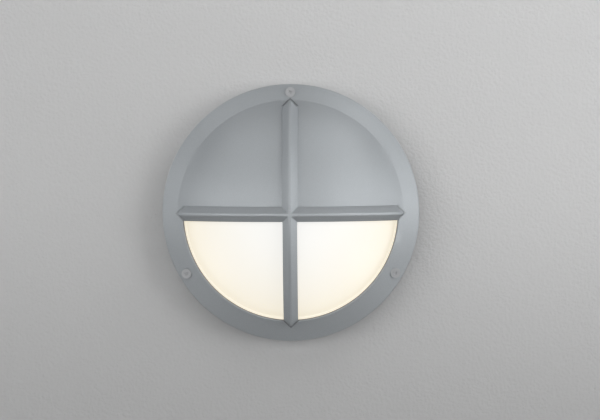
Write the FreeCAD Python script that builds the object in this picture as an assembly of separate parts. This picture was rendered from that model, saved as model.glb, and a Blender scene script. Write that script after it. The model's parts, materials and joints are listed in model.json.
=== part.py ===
import FreeCAD, Part
import math
import os

# Round outdoor wall light: a wall pan, an opal dome and a front casting with a half visor and crossed bars.
# Millimetres. The wall is the plane y = 0, the light faces -Y, +X is to the right and +Z is up.
# The origin is the middle of the face on the wall. "Depth" is the distance from the wall, which is -y.

# Front casting: the sloped ring
ring_radius = 135.0
ring_wall = 3.0
ring_slope = 32.44
ring_back_depth = 24.0
ring_edge_depth = 30.0
ring_edge_round = 2.0
ring_lip_round = 1.5
opening_undercut = 0.8
locating_rib_width = 2.4

# Front casting: the visor and the crossed bars
visor_lap = 6.8
visor_rise = 46.3
visor_wall = 3.0
bar_width = 15.0
bar_crest_width = 2.4
bar_height = 10.0
bar_tip_overhang = 0.5
bar_shoulder_round = 10.0
bar_leg_draft = 8.0
bar_crossing_flat = 10.0
bar_crest_round = 0.6
bar_fillet = 1.5
fillet_bite = 0.1
fillet_root = 1.0

# Opal dome
dome_wall = 3.0
dome_visor_gap = 2.0
dome_lip_gap = 1.9
flange_lap = 6.9
flange_thickness = 3.0
flange_clearance = 0.3
flange_recess_gap = 1.4

# Wall pan
pan_wall = 3.5
pan_back = 4.0
pan_flange_lap = 3.8
pan_edge_round = 1.0
pan_corner_round = 3.0
ear_thickness = 10.0
ear_wall = 2.3
ear_skirt_gap = 0.5
ear_seat_gap = 0.3
wall_seal_inset = 5.5
wall_seal_width = 6.0
wall_seal_thickness = 2.2

# Gasket on the pan's rim
gasket_thickness = 3.0
gasket_leg = 4.0
gasket_leg_width = 1.4
gasket_clearance = 0.1

# Captive cover screws
cover_screw_angles = {"top": 90.0, "left": 210.0, "right": 330.0}
cover_screw_radius = 2.5
cover_screw_length = 20.0
cover_head_radius = 4.8
cover_head_height = 3.3
cover_head_clearance = 0.5
recess_wall = 1.6
seat_thickness = 9.5
screw_hole_clearance = 0.2
thread_clearance = 0.1
hole_end_gap = 0.3
retainer_thickness = 1.0
retainer_width = 1.6
retainer_bore_clearance = 0.05
retainer_pocket_clearance = 0.2
screw_recess_share = 0.5
screw_head_round_share = 0.25

# Spring clips that hold the dome in the front casting
clip_angles = (30.0, 150.0, 270.0)
clip_width = 12.0
clip_thickness = 1.0
clip_rim_gap = 0.8
clip_end_gap = 0.25
clip_end_margin = 2.4
clip_boss_radius = 3.2
clip_screw_radius = 1.5
clip_screw_length = 4.6
clip_head_radius = 2.75
clip_head_height = 1.8

# Wall fixings and cable entry
fixing_inset = 19.0
fixing_hole_radius = 2.75
fixing_seal_width = 4.0
fixing_seal_clearance = 0.25
fixing_seal_thickness = 2.0
fixing_access_clearance = 5.0
cable_entry_inset = 33.0
cable_bore_radius = 4.6
grommet_wall = 5.3
grommet_lip = 3.0
grommet_lip_thickness = 2.0
grommet_snout_wall = 2.4
grommet_snout_length = 6.0
grommet_clearance = 0.1
grommet_wall_gap = 0.5
grommet_window_margin = 0.5

# Reflector tray
tray_edge_gap = 7.0
tray_thickness = 1.0
tray_depth = 9.0
post_wall = 2.3
tray_post_inset = 18.0
tray_post_angles = (35.5, 144.5, 215.5)
tray_screw_radius = 1.75
tray_screw_length = 6.0
tray_head_radius = 3.2
tray_head_height = 2.2
wiring_notch_margin = 8.0

# Lamp holder and its bracket
holder_dome_gap = 2.4
holder_wall = 4.3
holder_length = 40.0
holder_back_radius = 14.0
holder_taper = 6.0
holder_round = 1.5
shell_wall = 0.6
shell_cap_clearance = 0.3
shell_bore_clearance = 0.1
shell_inset = 1.0
contact_thickness = 0.6
contact_width = 6.0
contact_length = 14.0
contact_crown_width = 3.0
contact_rise = 1.2
bracket_thickness = 1.5
bracket_width = 28.0
bracket_foot_width = 46.0
bracket_foot_length = 26.0
bracket_head_room = 12.0
bracket_screw_spacing = 32.0
bracket_screw_setback = 13.5
holder_screw_spacing = 16.0
metal_screw_radius = 2.0
metal_screw_length = 9.0
metal_head_radius = 3.6
metal_head_height = 2.6
bracket_screw_length = 6.5

# Lamp
bulb_radius = 30.0
bulb_wall = 1.2
bulb_joint_radius = 25.0
bulb_tray_gap = 1.0
lamp_length = 108.0
lamp_mouth_gap = 1.0
cap_radius = 13.2
cap_wall = 0.5
cap_length = 20.0
cap_groove = 0.8
cap_pitch = 3.6
cap_turns = 5
insulator_length = 3.5
tip_radius = 4.6
tip_height = 1.2
tip_contact_gap = 0.2
collar_neck_radius = 14.0
collar_wall = 1.6
collar_hollow = 1.5

# Terminal block, earth point and wires
terminal_inset = 44.0
terminal_z = -34.0
terminal_pitch = 11.0
terminal_poles = 3
terminal_end_wall = 1.5
terminal_height = 14.0
terminal_floor = 0.6
tube_radius = 3.0
tube_bore_radius = 1.9
tube_length = 14.0
tube_inset = 2.0
tube_clearance = 0.1
terminal_screw_radius = 1.6
terminal_screw_offset = 4.2
terminal_screw_inset = 2.0
terminal_fixing_length = 14.0
earth_step_x = 24.0
earth_step_z = 38.0
earth_boss_radius = 4.5
earth_boss_height = 2.0
earth_tag_thickness = 0.8
earth_tag_width = 4.0
earth_washer_thickness = 0.8
earth_screw_length = 6.0
earth_barrel_wall = 0.65
earth_barrel_length = 6.0
earth_barrel_offset = 8.5
wire_radius = 1.2
wire_bore_clearance = 0.1
wire_insertion = 4.0
wire_first_run = 17.0
wire_run_step = 4.0
wire_arc_share = 0.45
port_spacing = 12.0
port_setback = 8.0
port_length = 5.0
port_clearance = 0.2
wire_window_margin = 2.0

# Radii that follow from one another, from the skirt inwards
tangent = math.tan(math.radians(ring_slope))
face_drop = ring_wall / math.cos(math.radians(ring_slope))
skirt_inner = ring_radius - ring_wall
ear_radius = cover_screw_radius + thread_clearance + ear_wall
cover_screw_circle = skirt_inner - ear_skirt_gap - ear_radius
recess_radius = cover_head_radius + cover_head_clearance
flange_radius = cover_screw_circle - recess_radius - recess_wall - flange_recess_gap
pocket_radius = flange_radius + flange_clearance
opening_radius = flange_radius - flange_lap
pan_radius = flange_radius - pan_flange_lap
pan_inner = pan_radius - pan_wall


def ring_face(radius):
    """Depth of the ring's sloped front at a radius."""
    return ring_edge_depth + (ring_radius - radius) * tangent


def ring_inner_face(radius):
    """Depth of the ring's sloped back at a radius."""
    return ring_face(radius) - face_drop


def cap_sphere(foot_radius, rise):
    """Radius of a sphere whose cap has this foot radius and this rise."""
    return (foot_radius ** 2 + rise ** 2) / (2 * rise)


# Depths that follow from one another, from the ring's face back to the pan
flange_front = ring_inner_face(pocket_radius)
flange_back = flange_front - flange_thickness
pan_rim = flange_back - gasket_thickness
recess_floor = ring_face(cover_screw_circle)
seat_back = recess_floor - seat_thickness
ear_top = seat_back - ear_seat_gap
ear_back = ear_top - ear_thickness
clip_end_radius = ring_radius - (flange_back + clip_end_gap + face_drop - ring_edge_depth) / tangent
clip_screw_circle = clip_end_radius - clip_end_margin

# The visor's, the bars' and the dome's spheres
visor_foot_radius = opening_radius + visor_lap
visor_sphere = cap_sphere(visor_foot_radius, visor_rise)
visor_crown = ring_face(visor_foot_radius) + visor_rise
visor_centre = visor_crown - visor_sphere
visor_inner_sphere = visor_sphere - visor_wall
crest_sphere = visor_sphere + bar_height
bar_foot_radius = visor_foot_radius + bar_tip_overhang
bar_foot_depth = ring_face(bar_foot_radius)
bar_root_depth = bar_foot_depth - face_drop / 2
bar_chamfer = (bar_width - bar_crest_width) / 2
dome_crown = visor_crown - visor_wall - dome_visor_gap
dome_foot_radius = opening_radius - dome_lip_gap
dome_sphere = cap_sphere(dome_foot_radius, dome_crown - flange_front)
dome_centre = dome_crown - dome_sphere
dome_inner_sphere = dome_sphere - dome_wall

# The lamp's and the holder's places
tray_front = tray_depth + tray_thickness
tray_radius = pan_inner - tray_edge_gap
lamp_depth = tray_front + bulb_tray_gap + bulb_radius
shell_bore = cap_radius + shell_cap_clearance
shell_radius = shell_bore + shell_wall
holder_bore = shell_radius + shell_bore_clearance
holder_radius = holder_bore + holder_wall
holder_front = lamp_depth + holder_radius - dome_centre
holder_back_z = math.sqrt(dome_inner_sphere ** 2 - holder_front ** 2) - holder_dome_gap + holder_taper
holder_mouth_z = holder_back_z - holder_length
cap_z = holder_mouth_z - lamp_mouth_gap
insulator_z = cap_z + cap_length
tip_z = insulator_z + insulator_length
lamp_top = tip_z + tip_height
bulb_z = lamp_top - lamp_length + bulb_radius
joint_z = bulb_z + math.sqrt(bulb_radius ** 2 - bulb_joint_radius ** 2)
holder_bore_end = lamp_top + tip_contact_gap + contact_rise + contact_thickness
bracket_top = holder_back_z + bracket_thickness
bracket_screw_z = bracket_top - bracket_screw_setback
bracket_front = tray_front + bracket_thickness
port_z = holder_back_z - port_setback

# The wiring's places
tube_depth = pan_back + terminal_floor + tube_radius
wire_depth = tube_depth - (tube_bore_radius - wire_radius - wire_bore_clearance)
terminal_width = tube_length + 2 * tube_inset
terminal_end = tube_radius + tube_clearance + terminal_end_wall
terminal_length = (terminal_poles - 1) * terminal_pitch + 2 * terminal_end
terminal_front = pan_back + terminal_height
terminal_x = tray_radius - terminal_inset
earth_x = terminal_x - earth_step_x
earth_z = terminal_z - earth_step_z
cable_entry_z = cable_entry_inset - pan_inner
earth_seat = pan_back + earth_boss_height
fixing_places = [(side * (tray_radius - fixing_inset), 0.0) for side in (-1, 1)]
bracket_places = [(side * bracket_screw_spacing / 2, bracket_screw_z) for side in (-1, 1)]
pole_offsets = [terminal_pitch * ((terminal_poles - 1) / 2 - pole) for pole in range(terminal_poles)]
pole_heights = [terminal_z + offset for offset in pole_offsets]
wall_seal_outer = pan_radius - wall_seal_inset
wall_seal_inner = wall_seal_outer - wall_seal_width

X = FreeCAD.Vector(1, 0, 0)
Z = FreeCAD.Vector(0, 0, 1)
OUT = FreeCAD.Vector(0, -1, 0)
CENTRE = FreeCAD.Vector(0, 0, 0)
CUT_MARGIN = 1.0
EDGE_MATCH = 0.001


def place(x, z, depth):
    """The point at this width, height and depth."""
    return FreeCAD.Vector(x, -depth, z)


def around(radius, angle):
    """Width and height of a point on a circle about the light's axis."""
    return radius * math.cos(math.radians(angle)), radius * math.sin(math.radians(angle))


def post(radius, back, front, x=0.0, z=0.0):
    """A round post along the light's axis between two depths."""
    return Part.makeCylinder(radius, front - back, place(x, z, back), OUT)


def washer(radius, bore, back, front, x=0.0, z=0.0):
    """A flat ring along the light's axis between two depths."""
    return post(radius, back, front, x, z).cut(post(bore, back - CUT_MARGIN, front + CUT_MARGIN, x, z))


def block(x_range, z_range, depth_range):
    """A box between two widths, two heights and two depths."""
    width = x_range[1] - x_range[0]
    height = z_range[1] - z_range[0]
    length = depth_range[1] - depth_range[0]
    return Part.makeBox(width, length, height, place(x_range[0], z_range[0], depth_range[1]))


def fused(shapes):
    """One clean solid from several that touch or overlap."""
    return shapes[0].multiFuse(shapes[1:]).removeSplitter()


def rounded_wire(corners):
    """A closed wire through 3D corners, each given with the radius that rounds it."""
    count = len(corners)
    starts = []
    ends = []
    arcs = []
    for index, (corner, radius) in enumerate(corners):
        before = (corners[index - 1][0] - corner).normalize()
        after = (corners[(index + 1) % count][0] - corner).normalize()
        half = before.getAngle(after) / 2
        if radius == 0:
            starts.append(corner)
            ends.append(corner)
            arcs.append(None)
            continue
        reach = radius / math.tan(half)
        middle = corner + (before + after).normalize() * (radius / math.sin(half) - radius)
        starts.append(corner + before * reach)
        ends.append(corner + after * reach)
        arcs.append(Part.Arc(starts[-1], middle, ends[-1]).toShape())
    edges = []
    for index in range(count):
        if arcs[index]:
            edges.append(arcs[index])
        edges.append(Part.LineSegment(ends[index], starts[(index + 1) % count]).toShape())
    return Part.Wire(edges)


def turned(corners):
    """A solid turned about the light's axis from (radius, depth, rounding) corners."""
    points = [(FreeCAD.Vector(radius, -depth, 0), rounding) for radius, depth, rounding in corners]
    return Part.Face(rounded_wire(points)).revolve(CENTRE, OUT, 360)


def turned_about_lamp(edges):
    """A solid turned about the lamp's upright axis from edges drawn at radius and height."""
    face = Part.Face(Part.Wire(edges))
    face.translate(place(0, 0, lamp_depth))
    return face.revolve(place(0, 0, lamp_depth), Z, 360)


def lamp_line(*points):
    """Straight edges through (radius, height) points."""
    vectors = [FreeCAD.Vector(radius, 0, height) for radius, height in points]
    return [Part.LineSegment(start, end).toShape() for start, end in zip(vectors, vectors[1:])]


def lamp_arc(start, middle, end):
    """An arc through three (radius, height) points."""
    vectors = [FreeCAD.Vector(radius, 0, height) for radius, height in (start, middle, end)]
    return Part.Arc(*vectors).toShape()


def axis_arc(sphere, centre, start_radius, end_radius):
    """An arc of a sphere about the light's axis, drawn at radius and depth."""
    points = []
    first = math.asin(start_radius / sphere)
    last = math.asin(end_radius / sphere)
    for angle in (first, (first + last) / 2, last):
        points.append(FreeCAD.Vector(sphere * math.sin(angle), -(centre + sphere * math.cos(angle)), 0))
    return Part.Arc(*points).toShape()


def axis_line(*points):
    """Straight edges through (radius, depth) points."""
    vectors = [FreeCAD.Vector(radius, -depth, 0) for radius, depth in points]
    return [Part.LineSegment(start, end).toShape() for start, end in zip(vectors, vectors[1:])]


def screw(head_radius, head_height, shank_radius, length):
    """A pan-head screw with a crossed recess, standing on the origin with its head up."""
    head = Part.makeCylinder(head_radius, head_height)
    rim = [edge for edge in head.Edges if edge.BoundBox.ZMin > head_height / 2]
    head = head.makeFillet(head_height * screw_head_round_share, rim)
    shank = Part.makeCylinder(shank_radius, length, FreeCAD.Vector(0, 0, -length))
    solid = fused([head, shank])
    slot_length = head_radius
    slot_width = head_radius / 4
    slot_depth = head_height * screw_recess_share
    for long_side, short_side in ((slot_length, slot_width), (slot_width, slot_length)):
        corner = FreeCAD.Vector(-long_side / 2, -short_side / 2, head_height - slot_depth)
        solid = solid.cut(Part.makeBox(long_side, short_side, head_height, corner))
    return solid


def seated(shape, x, z, depth, direction):
    """A shape that stands on the origin, moved to its seat and turned to face a direction."""
    copy = shape.copy()
    copy.Placement = FreeCAD.Placement(place(x, z, depth), FreeCAD.Rotation(Z, direction))
    return copy


def behind_ring_face():
    """All the space behind the ring's sloped face, for trimming what is cast into its back."""
    far = ring_radius + ring_wall
    return turned([(0, 0, 0), (0, ring_face(0), 0), (far, ring_face(far), 0), (far, 0, 0)])


def ring():
    """The sloped ring with its skirt, its opening and the rib that centres the dome."""
    rib_outer = pocket_radius + locating_rib_width
    return turned([
        (ring_radius, ring_back_depth, ring_lip_round),
        (ring_radius, ring_edge_depth, ring_edge_round),
        (opening_radius, ring_face(opening_radius), ring_lip_round),
        (opening_radius + opening_undercut, flange_front, 0),
        (pocket_radius, flange_front, 0),
        (pocket_radius, flange_back, 0),
        (rib_outer, flange_back, 0),
        (rib_outer, ring_inner_face(rib_outer), 0),
        (skirt_inner, ring_inner_face(skirt_inner), 0),
        (skirt_inner, ring_back_depth, 0),
    ])


def ring_bosses():
    """The seats of the cover screws, proud of the sloping face, and the bosses and cups behind it."""
    seats = []
    hidden = []
    cup_radius = recess_radius + recess_wall
    front = ring_face(opening_radius)
    for angle in cover_screw_angles.values():
        x, z = around(cover_screw_circle, angle)
        hidden.append(post(cup_radius, recess_floor - recess_wall, front, x, z))
        seats.append(post(recess_radius, seat_back, recess_floor, x, z))
    for angle in clip_angles:
        x, z = around(clip_screw_circle, angle)
        hidden.append(post(clip_boss_radius, flange_back, front, x, z))
    trim = behind_ring_face()
    pocket = post(pocket_radius, 0, flange_front)
    return seats + [boss.common(trim).cut(pocket) for boss in hidden]


def visor():
    """The upper half dome that shades the light."""
    outer = axis_arc(visor_sphere, visor_centre, 0, visor_foot_radius)
    root_radius = visor_inner_sphere * math.sin(math.asin(visor_foot_radius / visor_sphere))
    root_depth = visor_centre + math.sqrt(visor_inner_sphere ** 2 - root_radius ** 2)
    inner = axis_arc(visor_inner_sphere, visor_centre, root_radius, 0)
    edges = [outer]
    edges += axis_line((visor_foot_radius, ring_face(visor_foot_radius)), (root_radius, root_depth))
    edges += [inner]
    edges += axis_line((0, visor_centre + visor_inner_sphere), (0, visor_crown))
    return Part.Face(Part.Wire(edges)).revolve(CENTRE, OUT, 180)


def bar_shoulder():
    """Half length and depth of the corner where a bar's crest meets its leaning leg."""
    lean = math.tan(math.radians(bar_leg_draft))
    reach = bar_foot_radius + (bar_foot_depth - visor_centre) * lean
    square = 1 + lean ** 2
    height = (reach * lean + math.sqrt(crest_sphere ** 2 * square - reach ** 2)) / square
    return reach - height * lean, visor_centre + height


def bar_blank(width):
    """The plain outline of a bar along X, this wide, with its two shoulders rounded."""
    half = width / 2
    half_length, shoulder_depth = bar_shoulder()
    lean = math.tan(math.radians(bar_leg_draft))
    root_radius = bar_foot_radius + (bar_foot_depth - bar_root_depth) * lean
    crown = place(0, -half, visor_centre + crest_sphere)
    left = place(-half_length, -half, shoulder_depth)
    right = place(half_length, -half, shoulder_depth)
    left_root = place(-root_radius, -half, bar_root_depth)
    right_root = place(root_radius, -half, bar_root_depth)
    wire = Part.Wire([
        Part.LineSegment(left_root, left).toShape(),
        Part.Arc(left, crown, right).toShape(),
        Part.LineSegment(right, right_root).toShape(),
        Part.LineSegment(right_root, left_root).toShape(),
    ])
    solid = Part.Face(wire).extrude(Z * width)
    corners = [edge for edge in solid.Edges if is_shoulder(edge, width, shoulder_depth)]
    return solid.makeFillet(bar_shoulder_round, corners)


def is_shoulder(edge, width, shoulder_depth):
    """Whether an edge of the plain bar is one of its two upper corners."""
    box = edge.BoundBox
    return box.ZLength > width / 2 and abs(-box.Center.y - shoulder_depth) < CUT_MARGIN


def runs_along(edge, half_width):
    """Whether an edge of a bar runs along it at this half width, above its root."""
    box = edge.BoundBox
    level = box.ZLength < EDGE_MATCH and abs(abs(box.ZMin) - half_width) < EDGE_MATCH
    return level and -box.YMin > bar_root_depth + CUT_MARGIN


def bar():
    """One whole bar along X: an arched strip with a chamfered crest, steep legs and a flat middle."""
    solid = bar_blank(bar_width)
    sides = [edge for edge in solid.Edges if runs_along(edge, bar_width / 2)]
    solid = solid.makeChamfer(bar_chamfer, sides)
    ridges = [edge for edge in solid.Edges if runs_along(edge, bar_crest_width / 2)]
    solid = solid.makeFillet(bar_crest_round, ridges)
    flat_depth = visor_centre + math.sqrt(crest_sphere ** 2 - bar_crossing_flat ** 2)
    reach = (-bar_width, bar_width)
    return solid.cut(block(reach, reach, (flat_depth, flat_depth + bar_height)))


def visor_fillets():
    """The hollow fillets between the visor and the bars, mitred where the bars cross."""
    side = bar_width / 2 - fillet_bite
    sphere = visor_sphere - fillet_bite
    outer = sphere + bar_fillet
    ball = FreeCAD.Vector(side + bar_fillet, math.sqrt(outer ** 2 - (side + bar_fillet) ** 2), 0)
    on_sphere = ball * (sphere / outer)
    under_sphere = ball * ((sphere - fillet_root) / outer)
    on_side = FreeCAD.Vector(side, ball.y, 0)
    in_side = FreeCAD.Vector(side - fillet_root, ball.y, 0)
    corner = FreeCAD.Vector(in_side.x, math.sqrt((sphere - fillet_root) ** 2 - in_side.x ** 2), 0)
    towards = ((on_side - ball).normalize() + (on_sphere - ball).normalize()).normalize()
    middle = ball + towards * bar_fillet
    points = (on_sphere, under_sphere, corner, in_side, on_side)
    outline = [place(0, point.x, visor_centre + point.y) for point in points]
    edges = [Part.LineSegment(first, second).toShape() for first, second in zip(outline, outline[1:])]
    edges.append(Part.Arc(outline[-1], place(0, middle.x, visor_centre + middle.y), outline[0]).toShape())
    centre = place(0, 0, visor_centre)
    strip = Part.Face(Part.Wire(edges)).revolve(centre, Z, 90)
    wide = bar_blank(bar_width + 4 * bar_fillet)
    sector = Part.makePolygon([
        place(0, 0, 0),
        place(ring_radius, 0, 0),
        place(ring_radius, ring_radius, 0),
        place(0, 0, 0),
    ])
    strip = strip.common(wide).common(Part.Face(sector).extrude(OUT * ring_radius))
    pair = strip.fuse(strip.mirror(CENTRE, X - Z))
    return [pair, pair.mirror(CENTRE, X)]


def front_frame():
    """The front casting: ring, visor and crossed bars in one piece."""
    across = bar()
    upright = across.copy()
    upright.rotate(CENTRE, OUT, 90)
    hollow = Part.makeSphere(visor_inner_sphere, place(0, 0, visor_centre))
    bars = across.fuse(upright).cut(hollow)
    solid = fused([ring(), visor(), bars] + visor_fillets() + ring_bosses())
    front = ring_face(opening_radius) + CUT_MARGIN
    retainer_pocket = retainer_radius() + retainer_pocket_clearance
    pocket_front = seat_back + retainer_thickness + retainer_pocket_clearance
    for angle in cover_screw_angles.values():
        x, z = around(cover_screw_circle, angle)
        solid = solid.cut(post(recess_radius, recess_floor, front, x, z))
        solid = solid.cut(post(cover_screw_radius + screw_hole_clearance, 0, front, x, z))
        solid = solid.cut(post(retainer_pocket, 0, pocket_front, x, z))
    hole_end = flange_back - clip_thickness + clip_screw_length + hole_end_gap
    for angle in clip_angles:
        x, z = around(clip_screw_circle, angle)
        solid = solid.cut(post(clip_screw_radius + thread_clearance, 0, hole_end, x, z))
    return solid


def retainer_radius():
    """Outer radius of the ring that keeps a cover screw in the casting."""
    return cover_screw_radius + retainer_bore_clearance + retainer_width


def diffuser():
    """The opal dome with its flange."""
    inner_foot = math.sqrt(dome_inner_sphere ** 2 - (flange_back - dome_centre) ** 2)
    edges = [axis_arc(dome_sphere, dome_centre, 0, dome_foot_radius)]
    edges += axis_line(
        (dome_foot_radius, flange_front),
        (flange_radius, flange_front),
        (flange_radius, flange_back),
        (inner_foot, flange_back),
    )
    edges.append(axis_arc(dome_inner_sphere, dome_centre, inner_foot, 0))
    edges += axis_line((0, dome_crown - dome_wall), (0, dome_crown))
    return Part.Face(Part.Wire(edges)).revolve(CENTRE, OUT, 360)


def rim_gasket():
    """The gasket that lies on the pan's rim and hooks inside its wall."""
    leg_outer = pan_inner - gasket_clearance
    leg_inner = leg_outer - gasket_leg_width
    outer = pan_radius - gasket_clearance
    return turned([
        (leg_inner, pan_rim - gasket_leg, 0),
        (leg_inner, flange_back, 0),
        (outer, flange_back, 0),
        (outer, pan_rim, 0),
        (leg_outer, pan_rim, 0),
        (leg_outer, pan_rim - gasket_leg, 0),
    ])


def diffuser_clips():
    """Three flat spring clips under the dome's flange."""
    inner = pan_radius + clip_rim_gap
    clips = []
    for angle in clip_angles:
        x, z = around(clip_screw_circle, angle)
        half = clip_width / 2
        strip = block((inner, clip_end_radius), (-half, half), (flange_back - clip_thickness, flange_back))
        strip.rotate(CENTRE, OUT, angle)
        strip = strip.common(washer(clip_end_radius, inner, 0, flange_back))
        hole = post(clip_screw_radius + thread_clearance, 0, flange_front, x, z)
        clips.append(strip.cut(hole))
    return Part.makeCompound(clips)


def clip_screws():
    """The three screws of the clips, heads towards the wall."""
    one = screw(clip_head_radius, clip_head_height, clip_screw_radius, clip_screw_length)
    places = [around(clip_screw_circle, angle) for angle in clip_angles]
    return Part.makeCompound([seated(one, x, z, flange_back - clip_thickness, -OUT) for x, z in places])


def cover_screw(angle):
    """A captive screw that holds the front casting on the pan."""
    one = screw(cover_head_radius, cover_head_height, cover_screw_radius, cover_screw_length)
    x, z = around(cover_screw_circle, angle)
    return seated(one, x, z, recess_floor, OUT)


def screw_retainers():
    """The three rings that keep the cover screws in the casting."""
    bore = cover_screw_radius + retainer_bore_clearance
    back = seat_back + retainer_pocket_clearance
    places = [around(cover_screw_circle, angle) for angle in cover_screw_angles.values()]
    rings = [washer(retainer_radius(), bore, back, back + retainer_thickness, x, z) for x, z in places]
    return Part.makeCompound(rings)


def wall_base():
    """The pan on the wall, with its ears, posts, holes and seal groove."""
    pan = turned([
        (0, 0, 0),
        (pan_radius, 0, pan_edge_round),
        (pan_radius, pan_rim, 0),
        (pan_inner, pan_rim, 0),
        (pan_inner, pan_back, pan_corner_round),
        (0, pan_back, 0),
    ])
    solids = [pan]
    for angle in cover_screw_angles.values():
        x, z = around(cover_screw_circle, angle)
        web_root = pan_radius - pan_wall / 2
        web = block((web_root, cover_screw_circle), (-ear_radius, ear_radius), (ear_back, ear_top))
        web.rotate(CENTRE, OUT, angle)
        solids += [web, post(ear_radius, ear_back, ear_top, x, z)]
    tray_post = tray_screw_radius + thread_clearance + post_wall
    bracket_post = metal_screw_radius + thread_clearance + post_wall
    solids += [post(tray_post, 0, tray_depth, x, z) for x, z in tray_post_places()]
    solids += [post(bracket_post, 0, tray_depth, x, z) for x, z in bracket_places]
    solids.append(post(earth_boss_radius, 0, earth_seat, earth_x, earth_z))
    solid = fused(solids)
    for cut in pan_holes():
        solid = solid.cut(cut)
    return solid


def pan_holes():
    """Everything that is drilled or cut into the pan."""
    front = pan_rim + CUT_MARGIN
    cuts = [washer(wall_seal_outer, wall_seal_inner, -CUT_MARGIN, wall_seal_thickness)]
    for angle in cover_screw_angles.values():
        x, z = around(cover_screw_circle, angle)
        cuts.append(post(cover_screw_radius + thread_clearance, 0, front, x, z))
    for x, z in fixing_places:
        cuts.append(post(fixing_hole_radius, -CUT_MARGIN, front, x, z))
    cuts.append(post(cable_bore_radius + grommet_wall, -CUT_MARGIN, front, 0, cable_entry_z))
    tray_hole = tray_front - tray_screw_length - hole_end_gap
    for x, z in tray_post_places():
        cuts.append(post(tray_screw_radius + thread_clearance, tray_hole, front, x, z))
    bracket_hole = bracket_front - bracket_screw_length - hole_end_gap
    for x, z in bracket_places:
        cuts.append(post(metal_screw_radius + thread_clearance, bracket_hole, front, x, z))
    terminal_hole = terminal_front - tray_head_height - terminal_fixing_length - hole_end_gap
    for x, z in terminal_fixing_places():
        cuts.append(post(tray_screw_radius + thread_clearance, terminal_hole, front, x, z))
    earth_stack = earth_seat + earth_tag_thickness + earth_washer_thickness
    earth_hole = earth_stack - earth_screw_length - hole_end_gap
    cuts.append(post(metal_screw_radius + thread_clearance, earth_hole, front, earth_x, earth_z))
    return cuts


def wall_seal():
    """The foam ring in the pan's back, pressed flush with the wall."""
    clear = gasket_clearance
    return washer(wall_seal_outer - clear, wall_seal_inner + clear, 0, wall_seal_thickness)


def fixing_seals():
    """The two rubber washers under the heads of the wall screws."""
    bore = fixing_hole_radius + fixing_seal_clearance
    front = pan_back + fixing_seal_thickness
    outer = bore + fixing_seal_width
    return Part.makeCompound([washer(outer, bore, pan_back, front, x, z) for x, z in fixing_places])


def cable_grommet():
    """The rubber bush of the cable entry in the pan's back."""
    body = cable_bore_radius + grommet_wall - grommet_clearance
    lip = body + grommet_lip
    lip_front = pan_back + grommet_lip_thickness
    snout = cable_bore_radius + grommet_snout_wall
    solid = fused([
        post(body, grommet_wall_gap, pan_back, 0, cable_entry_z),
        post(lip, pan_back, lip_front, 0, cable_entry_z),
        post(snout, lip_front, lip_front + grommet_snout_length, 0, cable_entry_z),
    ])
    return solid.cut(post(cable_bore_radius, 0, pan_rim, 0, cable_entry_z))


def reflector_tray():
    """The white plate over the wiring, notched round the terminals and pierced for screws and wires."""
    plate = post(tray_radius, tray_depth, tray_front)
    depths = (tray_depth - CUT_MARGIN, tray_front + CUT_MARGIN)
    notch_left = earth_x - wiring_notch_margin
    notch_low = earth_z - wiring_notch_margin
    notch_high = terminal_z + terminal_length / 2 + wire_window_margin
    plate = plate.cut(block((notch_left, tray_radius), (notch_low, notch_high), depths))
    plate = plate.cut(wire_window(depths))
    for x, z in tray_post_places():
        plate = plate.cut(post(tray_screw_radius + screw_hole_clearance, *depths, x, z))
    for x, z in bracket_places:
        plate = plate.cut(post(metal_screw_radius + screw_hole_clearance, *depths, x, z))
    access = fixing_hole_radius + fixing_seal_clearance + fixing_seal_width + fixing_access_clearance
    for x, z in fixing_places:
        plate = plate.cut(post(access, *depths, x, z))
    window = cable_bore_radius + grommet_wall + grommet_lip + grommet_window_margin
    return plate.cut(post(window, *depths, 0, cable_entry_z))


def wire_window(depths):
    """The opening under the holder where its wires come forward."""
    half = port_spacing / 2 + wire_radius + wire_window_margin
    low = port_z - half - wire_window_margin
    high = port_z + wire_radius + wire_window_margin
    return block((-half, half), (low, high), depths)


def tray_screws():
    """The three screws of the tray."""
    one = screw(tray_head_radius, tray_head_height, tray_screw_radius, tray_screw_length)
    return Part.makeCompound([seated(one, x, z, tray_front, OUT) for x, z in tray_post_places()])


def holder_bracket():
    """The bent steel bracket that carries the lamp holder."""
    half = bracket_width / 2
    foot_half = bracket_foot_width / 2
    low = bracket_top - bracket_foot_length
    front = lamp_depth + bracket_head_room
    upright = block((-half, half), (holder_back_z, bracket_top), (tray_front, front))
    foot = block((-foot_half, foot_half), (low, bracket_top), (tray_front, bracket_front))
    solid = fused([upright, foot])
    solid = solid.cut(wire_window((tray_front - CUT_MARGIN, bracket_front + CUT_MARGIN)))
    for x, z in bracket_places:
        solid = solid.cut(post(metal_screw_radius + screw_hole_clearance, 0, pan_rim, x, z))
    for x in (-holder_screw_spacing / 2, holder_screw_spacing / 2):
        radius = metal_screw_radius + screw_hole_clearance
        start = place(x, holder_back_z - CUT_MARGIN, lamp_depth)
        solid = solid.cut(Part.makeCylinder(radius, holder_length, start, Z))
    return solid


def bracket_screws():
    """The two screws of the bracket's foot."""
    one = screw(metal_head_radius, metal_head_height, metal_screw_radius, bracket_screw_length)
    return Part.makeCompound([seated(one, x, z, bracket_front, OUT) for x, z in bracket_places])


def holder_screws():
    """The two screws that hold the lamp holder under its bracket."""
    one = screw(metal_head_radius, metal_head_height, metal_screw_radius, metal_screw_length)
    sides = (-holder_screw_spacing / 2, holder_screw_spacing / 2)
    return Part.makeCompound([seated(one, x, bracket_top, lamp_depth, Z) for x in sides])


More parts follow.
